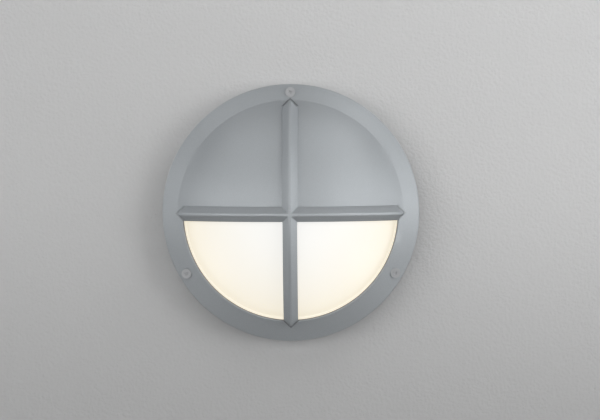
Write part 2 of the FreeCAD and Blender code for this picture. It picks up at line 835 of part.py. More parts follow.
def lamp_holder_body():
    """The porcelain body of the lamp holder, mouth down."""
    taper_z = holder_back_z - holder_taper
    edges = lamp_line(
        (holder_bore, holder_mouth_z),
        (holder_radius, holder_mouth_z),
        (holder_radius, taper_z),
        (holder_back_radius, holder_back_z),
        (0, holder_back_z),
        (0, holder_bore_end),
        (holder_bore, holder_bore_end),
        (holder_bore, holder_mouth_z),
    )
    solid = turned_about_lamp(edges)
    rims = [edge for edge in solid.Edges if is_rim(edge)]
    solid = solid.makeFillet(holder_round, rims)
    hole_length = metal_screw_length - bracket_thickness + hole_end_gap
    for x in (-holder_screw_spacing / 2, holder_screw_spacing / 2):
        radius = metal_screw_radius + thread_clearance
        solid = solid.cut(Part.makeCylinder(radius, hole_length, place(x, holder_back_z, lamp_depth), -Z))
    for x in (-port_spacing / 2, port_spacing / 2):
        solid = solid.cut(post(wire_radius + port_clearance, 0, port_end() + hole_end_gap, x, port_z))
    return solid


def is_rim(edge):
    """Whether an edge of the lamp holder is the outer rim of its mouth."""
    box = edge.BoundBox
    return box.ZMax < holder_mouth_z + CUT_MARGIN and box.XLength > 2 * holder_radius - CUT_MARGIN


def port_end():
    """Depth at which a wire ends inside the lamp holder."""
    return lamp_depth - math.sqrt(holder_radius ** 2 - (port_spacing / 2) ** 2) + port_length


def lamp_holder_shell():
    """The metal sleeve that takes the lamp's screw cap."""
    low = holder_mouth_z + shell_inset
    high = holder_bore_end
    return turned_about_lamp(lamp_line(
        (shell_bore, low),
        (shell_radius, low),
        (shell_radius, high),
        (shell_bore, high),
        (shell_bore, low),
    ))


def lamp_holder_contact():
    """The sprung centre contact at the end of the holder's bore."""
    half = contact_length / 2
    crown = contact_crown_width / 2
    seat = holder_bore_end
    strip = seat - contact_thickness
    tip = strip - contact_rise
    outline = [(-half, seat), (half, seat), (half, strip), (2 * crown, strip), (crown, tip)]
    outline += [(-crown, tip), (-2 * crown, strip), (-half, strip), (-half, seat)]
    wire = Part.makePolygon([place(x, z, lamp_depth - contact_width / 2) for x, z in outline])
    return Part.Face(wire).extrude(OUT * contact_width)


def lamp_tip_contact():
    """The contact at the very end of the lamp."""
    return turned_about_lamp(lamp_line(
        (0, tip_z),
        (tip_radius, tip_z),
        (tip_radius, lamp_top),
        (0, lamp_top),
        (0, tip_z),
    ))


def lamp_insulator():
    """The black cone between the lamp's tip and its screw cap."""
    foot = cap_radius - cap_groove - cap_wall
    return turned_about_lamp(lamp_line(
        (0, insulator_z),
        (foot, insulator_z),
        (tip_radius + cap_wall, tip_z),
        (0, tip_z),
        (0, insulator_z),
    ))


def lamp_cap():
    """The lamp's screw cap, with its thread as rounded rings."""
    root = cap_radius - cap_groove
    bore = root - cap_wall
    first = insulator_z - cap_wall - cap_turns * cap_pitch
    edges = lamp_line((bore, cap_z), (root, cap_z), (root, first))
    for turn in range(cap_turns):
        low = first + turn * cap_pitch
        middle = low + cap_pitch / 2
        high = low + cap_pitch
        edges.append(lamp_arc((root, low), (cap_radius, middle), (root, high)))
    last = insulator_z - cap_wall
    edges += lamp_line((root, last), (root, insulator_z), (bore, insulator_z), (bore, cap_z))
    return turned_about_lamp(edges)


def lamp_collar():
    """The lamp's white plastic body between cap and bulb."""
    neck = collar_neck_radius
    joint = bulb_joint_radius
    middle = ((neck + joint) / 2 - collar_hollow, (cap_z + joint_z) / 2)
    inner = (middle[0] - collar_wall, middle[1])
    edges = [lamp_arc((neck, cap_z), middle, (joint, joint_z))]
    inner_joint = joint - collar_wall
    inner_neck = neck - collar_wall
    inner_z = cap_z - collar_wall
    edges += lamp_line((joint, joint_z), (inner_joint, joint_z))
    edges.append(lamp_arc((inner_joint, joint_z), inner, (inner_neck, inner_z)))
    edges += lamp_line((inner_neck, inner_z), (0, inner_z), (0, cap_z), (neck, cap_z))
    return turned_about_lamp(edges)


def lamp_globe():
    """The lamp's opal bulb."""
    inner_radius = bulb_radius - bulb_wall
    inner_joint = math.sqrt(inner_radius ** 2 - (joint_z - bulb_z) ** 2)
    diagonal = math.sqrt(0.5)
    low = bulb_z - bulb_radius
    outer_middle = (bulb_radius * diagonal, bulb_z - bulb_radius * diagonal)
    inner_middle = (inner_radius * diagonal, bulb_z - inner_radius * diagonal)
    edges = [lamp_arc((0, low), outer_middle, (bulb_joint_radius, joint_z))]
    edges += lamp_line((bulb_joint_radius, joint_z), (inner_joint, joint_z))
    edges.append(lamp_arc((inner_joint, joint_z), inner_middle, (0, low + bulb_wall)))
    edges += lamp_line((0, low + bulb_wall), (0, low))
    return turned_about_lamp(edges)


def tray_post_places():
    """Where the tray's posts and screws stand."""
    return [around(tray_radius - tray_post_inset, angle) for angle in tray_post_angles]


def terminal_fixing_places():
    """Where the terminal block's own screws stand, between its poles."""
    return [(terminal_x, (high + low) / 2) for high, low in zip(pole_heights, pole_heights[1:])]


def terminal_screw_places():
    """Where the wire clamping screws stand, two to a pole."""
    sides = (terminal_x - terminal_screw_offset, terminal_x + terminal_screw_offset)
    return [(x, z) for z in pole_heights for x in sides]


def terminal_block():
    """The moulded terminal block on the pan's floor."""
    half_width = terminal_width / 2
    half_length = terminal_length / 2
    x_range = (terminal_x - half_width, terminal_x + half_width)
    z_range = (terminal_z - half_length, terminal_z + half_length)
    solid = block(x_range, z_range, (pan_back, terminal_front))
    for z in pole_heights:
        start = place(x_range[0] - CUT_MARGIN, z, tube_depth)
        length = terminal_width + 2 * CUT_MARGIN
        solid = solid.cut(Part.makeCylinder(tube_radius + tube_clearance, length, start, X))
    top = terminal_front + CUT_MARGIN
    for x, z in terminal_screw_places():
        solid = solid.cut(post(terminal_screw_radius + thread_clearance, tube_depth, top, x, z))
    for x, z in terminal_fixing_places():
        solid = solid.cut(post(tray_screw_radius + thread_clearance, 0, top, x, z))
        seat = terminal_front - tray_head_height
        solid = solid.cut(post(tray_head_radius + screw_hole_clearance, seat, top, x, z))
    return solid


def terminal_tubes():
    """The brass tubes that join the wires."""
    tubes = []
    for z in pole_heights:
        start = place(terminal_x - tube_length / 2, z, tube_depth)
        outer = Part.makeCylinder(tube_radius, tube_length, start, X)
        tubes.append(outer.cut(Part.makeCylinder(tube_bore_radius, tube_length, start, X)))
    return Part.makeCompound(tubes)


def terminal_screws():
    """The slotted grub screws over the brass tubes."""
    back = tube_depth + tube_radius + tube_clearance
    front = terminal_front - terminal_screw_inset
    slot = terminal_screw_radius / 2
    reach = terminal_screw_radius + CUT_MARGIN
    grubs = []
    for x, z in terminal_screw_places():
        cut = block((x - slot / 2, x + slot / 2), (z - reach, z + reach), (front - slot, front + slot))
        grubs.append(post(terminal_screw_radius, back, front, x, z).cut(cut))
    return Part.makeCompound(grubs)


def terminal_fixing_screws():
    """The two screws that hold the terminal block down."""
    one = screw(tray_head_radius, tray_head_height, tray_screw_radius, terminal_fixing_length)
    depth = terminal_front - tray_head_height
    return Part.makeCompound([seated(one, x, z, depth, OUT) for x, z in terminal_fixing_places()])


def earth_tag():
    """The crimped tag of the earth wire."""
    front = earth_seat + earth_tag_thickness
    half = earth_tag_width / 2
    barrel_z = earth_z + earth_barrel_offset
    barrel_bore = wire_radius + wire_bore_clearance
    eye = post(earth_boss_radius, earth_seat, front, earth_x, earth_z)
    tongue = block((earth_x - half, earth_x + half), (earth_z, barrel_z + half / 2), (earth_seat, front))
    start = place(earth_x, barrel_z, wire_depth)
    barrel = Part.makeCylinder(barrel_bore + earth_barrel_wall, earth_barrel_length, start, Z)
    solid = fused([eye, tongue, barrel])
    solid = solid.cut(post(metal_screw_radius + screw_hole_clearance, 0, pan_rim, earth_x, earth_z))
    bore_start = place(earth_x, barrel_z + half / 4, wire_depth)
    return solid.cut(Part.makeCylinder(barrel_bore, earth_barrel_length, bore_start, Z))


def earth_washer():
    """The washer under the earth screw's head."""
    back = earth_seat + earth_tag_thickness
    bore = metal_screw_radius + screw_hole_clearance
    return washer(earth_boss_radius, bore, back, back + earth_washer_thickness, earth_x, earth_z)


def earth_screw():
    """The screw that clamps the earth tag to the pan."""
    depth = earth_seat + earth_tag_thickness + earth_washer_thickness
    one = screw(metal_head_radius, metal_head_height, metal_screw_radius, earth_screw_length)
    return seated(one, earth_x, earth_z, depth, OUT)


def wire(points, name):
    """A round wire along straight runs joined by tangent arcs, as wide as the runs allow."""
    edges = []
    start = points[0]
    for before, corner, after in zip(points, points[1:], points[2:]):
        back = (before - corner).normalize()
        onward = (after - corner).normalize()
        half_turn = (math.pi - back.getAngle(onward)) / 2
        reach = wire_arc_share * min((before - corner).Length, (after - corner).Length)
        radius = reach / math.tan(half_turn)
        middle = corner + (back + onward).normalize() * (radius / math.cos(half_turn) - radius)
        arc_start = corner + back * reach
        arc_end = corner + onward * reach
        edges.append(Part.LineSegment(start, arc_start).toShape())
        edges.append(Part.Arc(arc_start, middle, arc_end).toShape())
        start = arc_end
        print(name, "bend radius", round(radius, 1), "mm")
    edges.append(Part.LineSegment(start, points[-1]).toShape())
    path = Part.Wire(edges)
    direction = points[1] - points[0]
    section = Part.Wire([Part.makeCircle(wire_radius, points[0], direction)])
    solid = path.makePipeShell([section], True, False)
    plain = math.pi * wire_radius ** 2 * path.Length
    print(name, "length", round(path.Length, 1), "volume share", round(solid.Volume / plain, 4))
    return solid


def holder_wire(pole, side, name):
    """A wire from a pole of the terminal block to a port of the lamp holder."""
    z = pole_heights[pole]
    start_x = terminal_x - tube_length / 2 + wire_insertion
    turn_x = start_x - wire_insertion - wire_first_run - wire_run_step * pole
    port_x = side * port_spacing / 2
    return wire([
        place(start_x, z, wire_depth),
        place(turn_x, z, wire_depth),
        place(port_x, port_z, wire_depth),
        place(port_x, port_z, port_end()),
    ], name)


def wire_earth():
    """The wire from the last pole of the terminal block to the earth tag."""
    z = pole_heights[-1]
    start_x = terminal_x - tube_length / 2 + wire_insertion
    end_z = earth_z + earth_barrel_offset + earth_tag_width / 2
    return wire([
        place(start_x, z, wire_depth),
        place(earth_x, z, wire_depth),
        place(earth_x, end_z, wire_depth),
    ], "wire_earth")


def nodes():
    """Every piece of the light by name."""
    pieces = {
        "front_frame": front_frame(),
        "diffuser": diffuser(),
        "diffuser_clips": diffuser_clips(),
        "clip_screws": clip_screws(),
        "screw_retainers": screw_retainers(),
        "wall_base": wall_base(),
        "wall_seal": wall_seal(),
        "rim_gasket": rim_gasket(),
        "fixing_seals": fixing_seals(),
        "cable_grommet": cable_grommet(),
        "reflector_tray": reflector_tray(),
        "tray_screws": tray_screws(),
        "holder_bracket": holder_bracket(),
        "bracket_screws": bracket_screws(),
        "lamp_holder_body": lamp_holder_body(),
        "lamp_holder_shell": lamp_holder_shell(),
        "lamp_holder_contact": lamp_holder_contact(),
        "holder_screws": holder_screws(),
        "lamp_tip_contact": lamp_tip_contact(),
        "lamp_insulator": lamp_insulator(),
        "lamp_cap": lamp_cap(),
        "lamp_collar": lamp_collar(),
        "lamp_globe": lamp_globe(),
        "terminal_block": terminal_block(),
        "terminal_tubes": terminal_tubes(),
        "terminal_screws": terminal_screws(),
        "terminal_fixing_screws": terminal_fixing_screws(),
        "earth_tag": earth_tag(),
        "earth_washer": earth_washer(),
        "earth_screw": earth_screw(),
        "wire_live": holder_wire(0, 1, "wire_live"),
        "wire_neutral": holder_wire(1, -1, "wire_neutral"),
        "wire_earth": wire_earth(),
    }
    for side, angle in cover_screw_angles.items():
        pieces["cover_screw_" + side] = cover_screw(angle)
    return pieces


os.makedirs("parts", exist_ok=True)
for name, shape in nodes().items():
    print(name, "solids", len(shape.Solids), "valid", shape.isValid(), "volume", round(shape.Volume, 1))
    shape.exportStep(os.path.join("parts", name + ".step"))
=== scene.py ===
"""Outdoor wall light with a half visor and crossed bars: finishes, pieces and studio."""
from __future__ import annotations

import json
import logging
import math
from collections.abc import Callable, Iterable
from dataclasses import dataclass
from enum import Enum
from typing import Union

import bmesh
import bpy
from mathutils import Matrix, Vector

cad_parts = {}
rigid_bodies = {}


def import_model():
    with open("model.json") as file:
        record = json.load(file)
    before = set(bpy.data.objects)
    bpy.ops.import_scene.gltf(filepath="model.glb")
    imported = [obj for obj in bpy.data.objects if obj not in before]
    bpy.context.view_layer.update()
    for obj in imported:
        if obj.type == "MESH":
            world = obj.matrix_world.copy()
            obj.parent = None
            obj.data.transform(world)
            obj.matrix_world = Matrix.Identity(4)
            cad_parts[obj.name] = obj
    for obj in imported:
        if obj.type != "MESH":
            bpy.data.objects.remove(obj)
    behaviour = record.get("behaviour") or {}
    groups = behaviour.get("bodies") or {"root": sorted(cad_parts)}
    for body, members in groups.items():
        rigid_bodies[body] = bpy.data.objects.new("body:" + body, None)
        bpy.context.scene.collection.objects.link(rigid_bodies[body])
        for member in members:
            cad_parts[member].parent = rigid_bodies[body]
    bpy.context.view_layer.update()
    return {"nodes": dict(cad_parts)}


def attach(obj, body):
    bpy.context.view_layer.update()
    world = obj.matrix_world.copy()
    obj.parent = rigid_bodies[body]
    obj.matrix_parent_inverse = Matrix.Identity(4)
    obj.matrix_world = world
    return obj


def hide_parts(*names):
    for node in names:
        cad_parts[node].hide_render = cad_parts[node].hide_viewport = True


LOG = logging.getLogger("wall_light")
Color = tuple[float, float, float]
Point = tuple[float, float, float]
Span = tuple[float, float]
Socket = bpy.types.NodeSocket
Source = Union[Socket, float, str, Color]

# Sizes of pieces are in millimetres and MM turns them into metres. Angles are in degrees, turns in radians.
MM = 0.001
MERGE = 1e-6
CREASE = 28.0
FULL_TURN = 2 * math.pi
FULL: Span = (0.0, 1.0)
NOISE: Span = (0.3, 0.7)
TONE: Span = (0.35, 0.7)
BLACK: Color = (0.0, 0.0, 0.0)
UP: Point = (0.0, 0.0, 1.0)
TO_ROOM: Point = (0.0, -1.0, 0.0)
TO_WALL: Point = (0.0, 1.0, 0.0)
SQUARE = ((-1, -1), (1, -1), (1, 1), (-1, 1))


def metres(span_mm: Span) -> Span:
    """Gives a range of millimetres in metres."""
    return span_mm[0] * MM, span_mm[1] * MM


def around(radius: float, angle: float, depth: float) -> Point:
    """Gives a place on a circle about the light's axis."""
    turn = math.radians(angle)
    return radius * math.cos(turn), -depth, radius * math.sin(turn)


def direction(azimuth: float, elevation: float) -> Vector:
    """Gives the way out from the light at two angles in degrees."""
    turn, rise = math.radians(azimuth), math.radians(elevation)
    return Vector((math.sin(turn) * math.cos(rise), -math.cos(turn) * math.cos(rise), math.sin(rise)))


def of_kind(sockets: Iterable[Socket], kind: str) -> list[Socket]:
    """Gives the sockets of one kind."""
    return [socket for socket in sockets if socket.type == kind]


def add_object(data: bpy.types.ID, name: str) -> bpy.types.Object:
    """Adds a mesh, a lamp or a camera to the scene at the origin.

    Args:
        data: What is added.
        name: The object's name.

    Returns:
        The object.
    """
    obj = bpy.data.objects.new(name, data)
    bpy.context.scene.collection.objects.link(obj)
    return obj


def to_mesh(work: bmesh.types.BMesh, name: str) -> bpy.types.Mesh:
    """Closes a mesh in the making.

    Args:
        work: The mesh in the making, which is freed.
        name: The mesh's name.

    Returns:
        The mesh.
    """
    mesh = bpy.data.meshes.new(name)
    work.to_mesh(mesh)
    work.free()
    return mesh


class Body(Enum):
    """The moving bodies of the light."""

    BASE = "base"
    COVER = "cover"
    SCREW_TOP = "cover_screw_top"
    SCREW_LEFT = "cover_screw_left"
    SCREW_RIGHT = "cover_screw_right"
    LAMP_CARRIER = "lamp_carrier"
    LAMP = "lamp"


class Effect(Enum):
    """The surface effects that several finishes share."""

    GRAIN = "Grain"
    FLAKE = "Flake"
    DUST = "Dust"
    LATHE = "Lathe marks"


class Bench:
    """Lays out the nodes of one tree."""

    def __init__(self, tree: bpy.types.NodeTree) -> None:
        """Takes a tree in hand."""
        self.tree = tree

    def put(self, socket: Socket, source: Source) -> None:
        """Feeds an input.

        Args:
            socket: The input.
            source: A socket that feeds it, or its value.
        """
        if isinstance(source, bpy.types.NodeSocket):
            self.tree.links.new(source, socket)
        else:
            socket.default_value = (*source, 1.0) if socket.type == "RGBA" else source

    def node(self, kind: str, inputs: dict[str | int, Source] | None = None,
             **settings: str | bpy.types.NodeTree) -> bpy.types.Node:
        """Adds a node.

        Args:
            kind: The node's type.
            inputs: What feeds its inputs, by name or number.
            **settings: Its own settings, made before its inputs are fed.

        Returns:
            The node.
        """
        node = self.tree.nodes.new(kind)
        for name, value in settings.items():
            setattr(node, name, value)
        for name, source in (inputs or {}).items():
            self.put(node.inputs[name], source)
        return node

    def sockets(self, inputs: dict[str, str], outputs: dict[str, str]) -> dict[str, str]:
        """Args:
            inputs: The kind of each input.
            outputs: The kind of each output.

        Returns:
            The identifier of each socket.
        """
        made = {}
        for way, names in (("INPUT", inputs), ("OUTPUT", outputs)):
            for name, kind in names.items():
                socket = self.tree.interface.new_socket(name, in_out=way, socket_type="NodeSocket" + kind)
                made[name] = socket.identifier
        return made

    def start(self) -> bpy.types.NodeOutputs:
        """Gives what comes into a group."""
        return self.node("NodeGroupInput").outputs

    def noise(self, vector: Socket, scale: Socket, detail: float) -> Socket:
        """Gives noise in space."""
        inputs = {"Vector": vector, "Scale": scale, "Detail": detail}
        return self.node("ShaderNodeTexNoise", inputs).outputs["Fac"]

    def calc(self, operation: str, first: Socket, second: Socket | float = 0.0) -> Socket:
        """Gives the result of an operation."""
        return self.node("ShaderNodeMath", {0: first, 1: second}, operation=operation).outputs[0]

    def times(self, first: Socket, *others: Socket) -> Socket:
        """Gives the product of masks.

        Args:
            first: The first mask.
            *others: The other ones.

        Returns:
            The product.
        """
        for other in others:
            first = self.calc("MULTIPLY", first, other)
        return first

    def part_of(self, vector: Socket, axis: str) -> Socket:
        """Gives one coordinate of a vector."""
        return self.node("ShaderNodeSeparateXYZ", {"Vector": vector}).outputs[axis]

    def span(self, value: Socket, source: Span, target: Span = FULL, soft: bool = False) -> Socket:
        """Maps a value from one range to another, clamped.

        Args:
            value: The value.
            source: The range that it comes in.
            target: The range that it goes to.
            soft: Whether the change eases in and out.

        Returns:
            The mapped value.
        """
        ends = dict(zip(("From Min", "From Max", "To Min", "To Max"), (*source, *target)))
        style = "SMOOTHSTEP" if soft else "LINEAR"
        node = self.node("ShaderNodeMapRange", {"Value": value, **ends}, interpolation_type=style)
        return node.outputs["Result"]

    def close(self, geometry: Socket, finish: Socket, name: str) -> None:
        """Ends a tree of geometry with real, dressed meshes.

        Args:
            geometry: What the tree made.
            finish: Its material.
            name: The tree's output.
        """
        real = self.node("GeometryNodeRealizeInstances", {"Geometry": geometry}).outputs["Geometry"]
        dress = self.node("GeometryNodeSetMaterial", {"Geometry": real, "Material": finish})
        self.node("NodeGroupOutput", {name: dress.outputs["Geometry"]})


class EffectGroups:
    """Builds each shared shader node group once."""

    fine_detail = 3.0
    broad_detail = 4.0
    broad_share = 0.4
    dust_detail = 5.0
    dust_slope: Span = (0.25, 1.0)
    dust_patches: Span = (0.35, 0.75)
    lathe_detail = 2.0

    def get(self, effect: Effect) -> bpy.types.NodeTree:
        """Gives the node group of an effect.

        Args:
            effect: The effect that is wanted.

        Returns:
            The shader node group, built on its first use.
        """
        if effect.value in bpy.data.node_groups:
            return bpy.data.node_groups[effect.value]
        tree = bpy.data.node_groups.new(effect.value, "ShaderNodeTree")
        builders = {Effect.GRAIN: self._grain, Effect.FLAKE: self._flake, Effect.DUST: self._dust,
                    Effect.LATHE: self._lathe}
        builders[effect](Bench(tree))
        return tree

    def _grain(self, bench: Bench) -> None:
        """Fine and broad noise with a height made of both.

        Args:
            bench: The empty group.
        """
        bench.sockets({"Vector": "Vector", "Fine Scale": "Float", "Broad Scale": "Float"},
                      {"Fine": "Float", "Broad": "Float", "Height": "Float"})
        start = bench.start()
        fine = bench.noise(start["Vector"], start["Fine Scale"], self.fine_detail)
        broad = bench.noise(start["Vector"], start["Broad Scale"], self.broad_detail)
        height = bench.node("ShaderNodeMath", {0: broad, 1: self.broad_share, 2: fine},
                            operation="MULTIPLY_ADD")
        bench.node("NodeGroupOutput", {"Fine": fine, "Broad": broad, "Height": height.outputs[0]})

    def _flake(self, bench: Bench) -> None:
        """Metal flakes in a coating, each with its own brightness.

        Args:
            bench: The empty group.
        """
        bench.sockets({"Vector": "Vector", "Scale": "Float"}, {"Sparkle": "Float", "Height": "Float"})
        start = bench.start()
        inputs = {"Vector": start["Vector"], "Scale": start["Scale"]}
        cells = bench.node("ShaderNodeTexVoronoi", inputs).outputs
        sparkle = bench.node("ShaderNodeSeparateColor", {"Color": cells["Color"]}).outputs["Red"]
        bench.node("NodeGroupOutput", {"Sparkle": sparkle, "Height": cells["Distance"]})

    def _dust(self, bench: Bench) -> None:
        """Dust that settles on faces that look up.

        Args:
            bench: The empty group.
        """
        bench.sockets({"Vector": "Vector", "Scale": "Float"}, {"Mask": "Float"})
        start = bench.start()
        normal = bench.node("ShaderNodeNewGeometry").outputs["Normal"]
        level = bench.span(bench.part_of(normal, "Z"), self.dust_slope)
        noise = bench.noise(start["Vector"], start["Scale"], self.dust_detail)
        patches = bench.span(noise, self.dust_patches)
        bench.node("NodeGroupOutput", {"Mask": bench.times(level, patches)})

    def _lathe(self, bench: Bench) -> None:
        """Rings left by turning, along a radius stored on the mesh.

        Args:
            bench: The empty group.
        """
        bench.sockets({"Radius": "Float", "Scale": "Float"}, {"Lines": "Float"})
        start = bench.start()
        inputs = {"W": start["Radius"], "Scale": start["Scale"], "Detail": self.lathe_detail}
        lines = bench.node("ShaderNodeTexNoise", inputs, noise_dimensions="1D")
        bench.node("NodeGroupOutput", {"Lines": lines.outputs["Fac"]})


class Canvas(Bench):
    """Lays out the nodes of one material."""

    def __init__(self, name: str) -> None:
        """Starts a node material with a bare shader.

        Args:
            name: The material's name.
        """
        self.material = bpy.data.materials.new(name)
        self.material.use_nodes = True
        super().__init__(self.material.node_tree)
        self.tree.nodes.clear()
        self.shader = self.node("ShaderNodeBsdfPrincipled")
        self.output = self.node("ShaderNodeOutputMaterial", {"Surface": self.shader.outputs["BSDF"]})

    def set(self, **inputs: Source) -> None:
        """Feeds the shader's own inputs.

        Args:
            **inputs: Their names with underscores for spaces, and what feeds each.
        """
        for name, source in inputs.items():
            self.put(self.shader.inputs[name.replace("_", " ")], source)

    def coords(self) -> Socket:
        """Gives the piece's own coordinates."""
        return self.node("ShaderNodeTexCoord").outputs["Object"]

    def attribute(self, name: str) -> Socket:
        """Gives a value stored on the mesh."""
        return self.node("ShaderNodeAttribute", attribute_name=name).outputs["Fac"]

    def effect(self, effect: Effect, source: Socket, **scales: float) -> bpy.types.NodeOutputs:
        """Places a shared effect.

        Args:
            effect: The effect.
            source: What feeds its first input.
            **scales: Its other inputs, with underscores for spaces.

        Returns:
            What it gives.
        """
        inputs = {name.replace("_", " "): value for name, value in scales.items()}
        group = EffectGroups().get(effect)
        return self.node("ShaderNodeGroup", {0: source, **inputs}, node_tree=group).outputs

    def off_axis(self, place: Socket, rise_mm: float = 0.0) -> Socket:
        """Gives the distance from the light's axis.

        Args:
            place: The place.
            rise_mm: How far above that axis the distance starts.

        Returns:
            The distance in metres.
        """
        flat = self.node("ShaderNodeVectorMath", {0: place, 1: (1.0, 0.0, 1.0), 2: (0.0, 0.0, -rise_mm * MM)},
                         operation="MULTIPLY_ADD").outputs["Vector"]
        return self.node("ShaderNodeVectorMath", {0: flat}, operation="LENGTH").outputs["Value"]

    def steps_off_axis(self, place: Socket, across: float = 1.0) -> Socket:
        """Gives the distance from the light's axis in steps across and up.

        Args:
            place: The place.
            across: The weight of the step across.

        Returns:
            The sum of both steps in metres.
        """
        size = self.node("ShaderNodeVectorMath", {0: place}, operation="ABSOLUTE").outputs["Vector"]
        return self.node("ShaderNodeVectorMath", {0: size, 1: (across, 0.0, 1.0)},
                         operation="DOT_PRODUCT").outputs["Value"]

    def behind(self, place: Socket, depths_mm: Span, target: Span = FULL) -> Socket:
        """Gives a mask that changes between two depths.

        Args:
            place: The place.
            depths_mm: The depth nearer the wall and the one nearer the front.
            target: The mask at the front and at the wall.

        Returns:
            The mask.
        """
        back, front = (-depth * MM for depth in depths_mm)
        return self.span(self.part_of(place, "Y"), (front, back), target)

    def mix(self, factor: Socket, first: Color | Socket, second: Color) -> Socket:
        """Mixes two colours.

        Args:
            factor: How much of the second one shows.
            first: A colour, or a socket that gives one.
            second: The other colour.

        Returns:
            The mixed colour.
        """
        node = self.node("ShaderNodeMix", {"Factor": factor}, data_type="RGBA")
        for socket, color in zip(of_kind(node.inputs, "RGBA"), (first, second)):
            self.put(socket, color)
        return of_kind(node.outputs, "RGBA")[0]

    def relief(self, height: Socket, strength: float, depth_mm: float) -> None:
        """Gives the surface a bump.

        Args:
            height: The height that makes it.
            strength: How strongly it shows.
            depth_mm: How deep it is.
        """
        inputs = {"Strength": strength, "Distance": depth_mm * MM, "Height": height}
        self.set(Normal=self.node("ShaderNodeBump", inputs).outputs["Normal"])


@dataclass(frozen=True)
class Finish:
    """A surface finish that becomes one material."""

    slot: str

    def material(self) -> bpy.types.Material:
        """Gives the finish's material.

        Returns:
            The material, made on its first use.
        """
        name = self.slot + "_finish"
        if name in bpy.data.materials:
            return bpy.data.materials[name]
        canvas = Canvas(name)
        self.shade(canvas)
        return canvas.material

    def shade(self, canvas: Canvas) -> None:
        """Lays out the finish's nodes; each finish has its own."""
        raise NotImplementedError


@dataclass(frozen=True)
class SilverCoat(Finish):
    """Satin silver-grey coating with fine metal flake, a film of dust, and painted shade along the opening's
    lip and in the nooks beside the bars' tips.
    """

    dark: Color = (0.400, 0.424, 0.442)
    light: Color = (0.470, 0.496, 0.516)
    dust: Color = (0.42, 0.41, 0.39)
    film: float = 0.16
    metallic: float = 0.60
    gloss: Span = (0.48, 0.56)
    # painted shade: the dark tint of the ring's inner lip along the lit opening
    seam_shade: Color = (0.13, 0.10, 0.075)
    seam_share: float = 0.6
    seam_mm: Span = (0.0, 0.1)
    seam_rise_mm: Span = (-10.0, -7.0)
    seam_front_mm: Span = (45.2, 46.0)
    # painted shade: the dark tint in the creases beside the bars' tips
    nook_shade: Color = (0.085, 0.085, 0.086)
    nook_share: Span = (0.22, 0.55)
    nook_near_mm: Span = (117.6, 119.2)
    nook_far_mm: Span = (119.9, 121.6)
    nook_rise_mm: Span = (20.0, 100.0)
    nook_out_mm: Span = (111.5, 112.5)
    nook_front_mm: Span = (38.0, 39.0)

    def shade(self, canvas: Canvas) -> None:
        """Lays out the coating.

        Args:
            canvas: The material's canvas.
        """
        place = canvas.coords()
        flake = canvas.effect(Effect.FLAKE, place, Scale=5200.0)
        grain = canvas.effect(Effect.GRAIN, place, Fine_Scale=620.0, Broad_Scale=16.0)
        dust = canvas.effect(Effect.DUST, place, Scale=55.0)
        color = canvas.mix(flake["Sparkle"], self.dark, self.light)
        color = canvas.mix(canvas.span(dust["Mask"], FULL, (0.0, self.film)), color, self.dust)
        # painted shade: darkens the ring's inner lip along the lit opening
        color = canvas.mix(self._seam_shade_mask(canvas, place), color, self.seam_shade)
        # painted shade: darkens the creases beside the bars' tips
        color = canvas.mix(self._nook_shade_mask(canvas, place), color, self.nook_shade)
        canvas.relief(grain["Height"], strength=0.10, depth_mm=0.10)
        canvas.set(Base_Color=color, Roughness=canvas.span(grain["Broad"], NOISE, self.gloss),
                   Metallic=self.metallic)

    def _seam_shade_mask(self, canvas: Canvas, place: Socket) -> Socket:
        """Gives the painted shade in the seam along the lit opening.

        Args:
            canvas: The material's canvas.
            place: The place.

        Returns:
            How much painted shade there is.
        """
        inside = canvas.span(canvas.off_axis(place), metres(self.seam_mm), (self.seam_share, 0.0))
        below = canvas.span(canvas.part_of(place, "Z"), metres(self.seam_rise_mm), (1.0, 0.0))
        return canvas.times(inside, below, canvas.behind(place, self.seam_front_mm))

    def _nook_shade_mask(self, canvas: Canvas, place: Socket) -> Socket:
        """Gives the painted shade in the nooks where the bars' hipped tips meet the ring.

        Args:
            canvas: The material's canvas.
            place: The place.

        Returns:
            How much painted shade there is.
        """
        steps = canvas.steps_off_axis(place)
        upright = canvas.steps_off_axis(place, across=0.0)
        return canvas.times(canvas.span(steps, metres(self.nook_near_mm)),
                            canvas.span(steps, metres(self.nook_far_mm), (1.0, 0.0)),
                            canvas.span(upright, metres(self.nook_rise_mm), self.nook_share),
                            canvas.span(canvas.off_axis(place), metres(self.nook_out_mm)),
                            canvas.behind(place, self.nook_front_mm, (1.0, 0.0)))


@dataclass(frozen=True)
class Opal(Finish):
    """Opal plastic lit from behind, whitest in the middle, creamier at its rim and dim at a hidden flange."""

    heart: Color = (0.668, 0.664, 0.648)
    rim: Color = (0.700, 0.634, 0.499)
    body: Color = (0.44, 0.436, 0.418)
    spent: Color = (0.11, 0.098, 0.076)
    reach_mm: Span = (20.0, 112.0)
    fade: float = 1.6
    spent_mm: Span = (0.0, 0.1)
    centre_z_mm: float = 2.0
    strength: float = 1.0
    gloss: Span = (0.26, 0.34)

    def shade(self, canvas: Canvas) -> None:
        """Lays out the lit opal.

        Args:
            canvas: The material's canvas.
        """
        place = canvas.coords()
        grain = canvas.effect(Effect.GRAIN, place, Fine_Scale=900.0, Broad_Scale=40.0)
        outward = canvas.span(canvas.off_axis(place, self.centre_z_mm), metres(self.reach_mm))
        glow = canvas.mix(canvas.calc("POWER", outward, self.fade), self.heart, self.rim)
        canvas.relief(grain["Height"], strength=0.04, depth_mm=0.05)
        canvas.set(Base_Color=self.body, Roughness=canvas.span(grain["Fine"], NOISE, self.gloss), IOR=1.49,
                   Emission_Color=canvas.mix(canvas.behind(place, self.spent_mm), glow, self.spent),
                   Emission_Strength=self.strength)


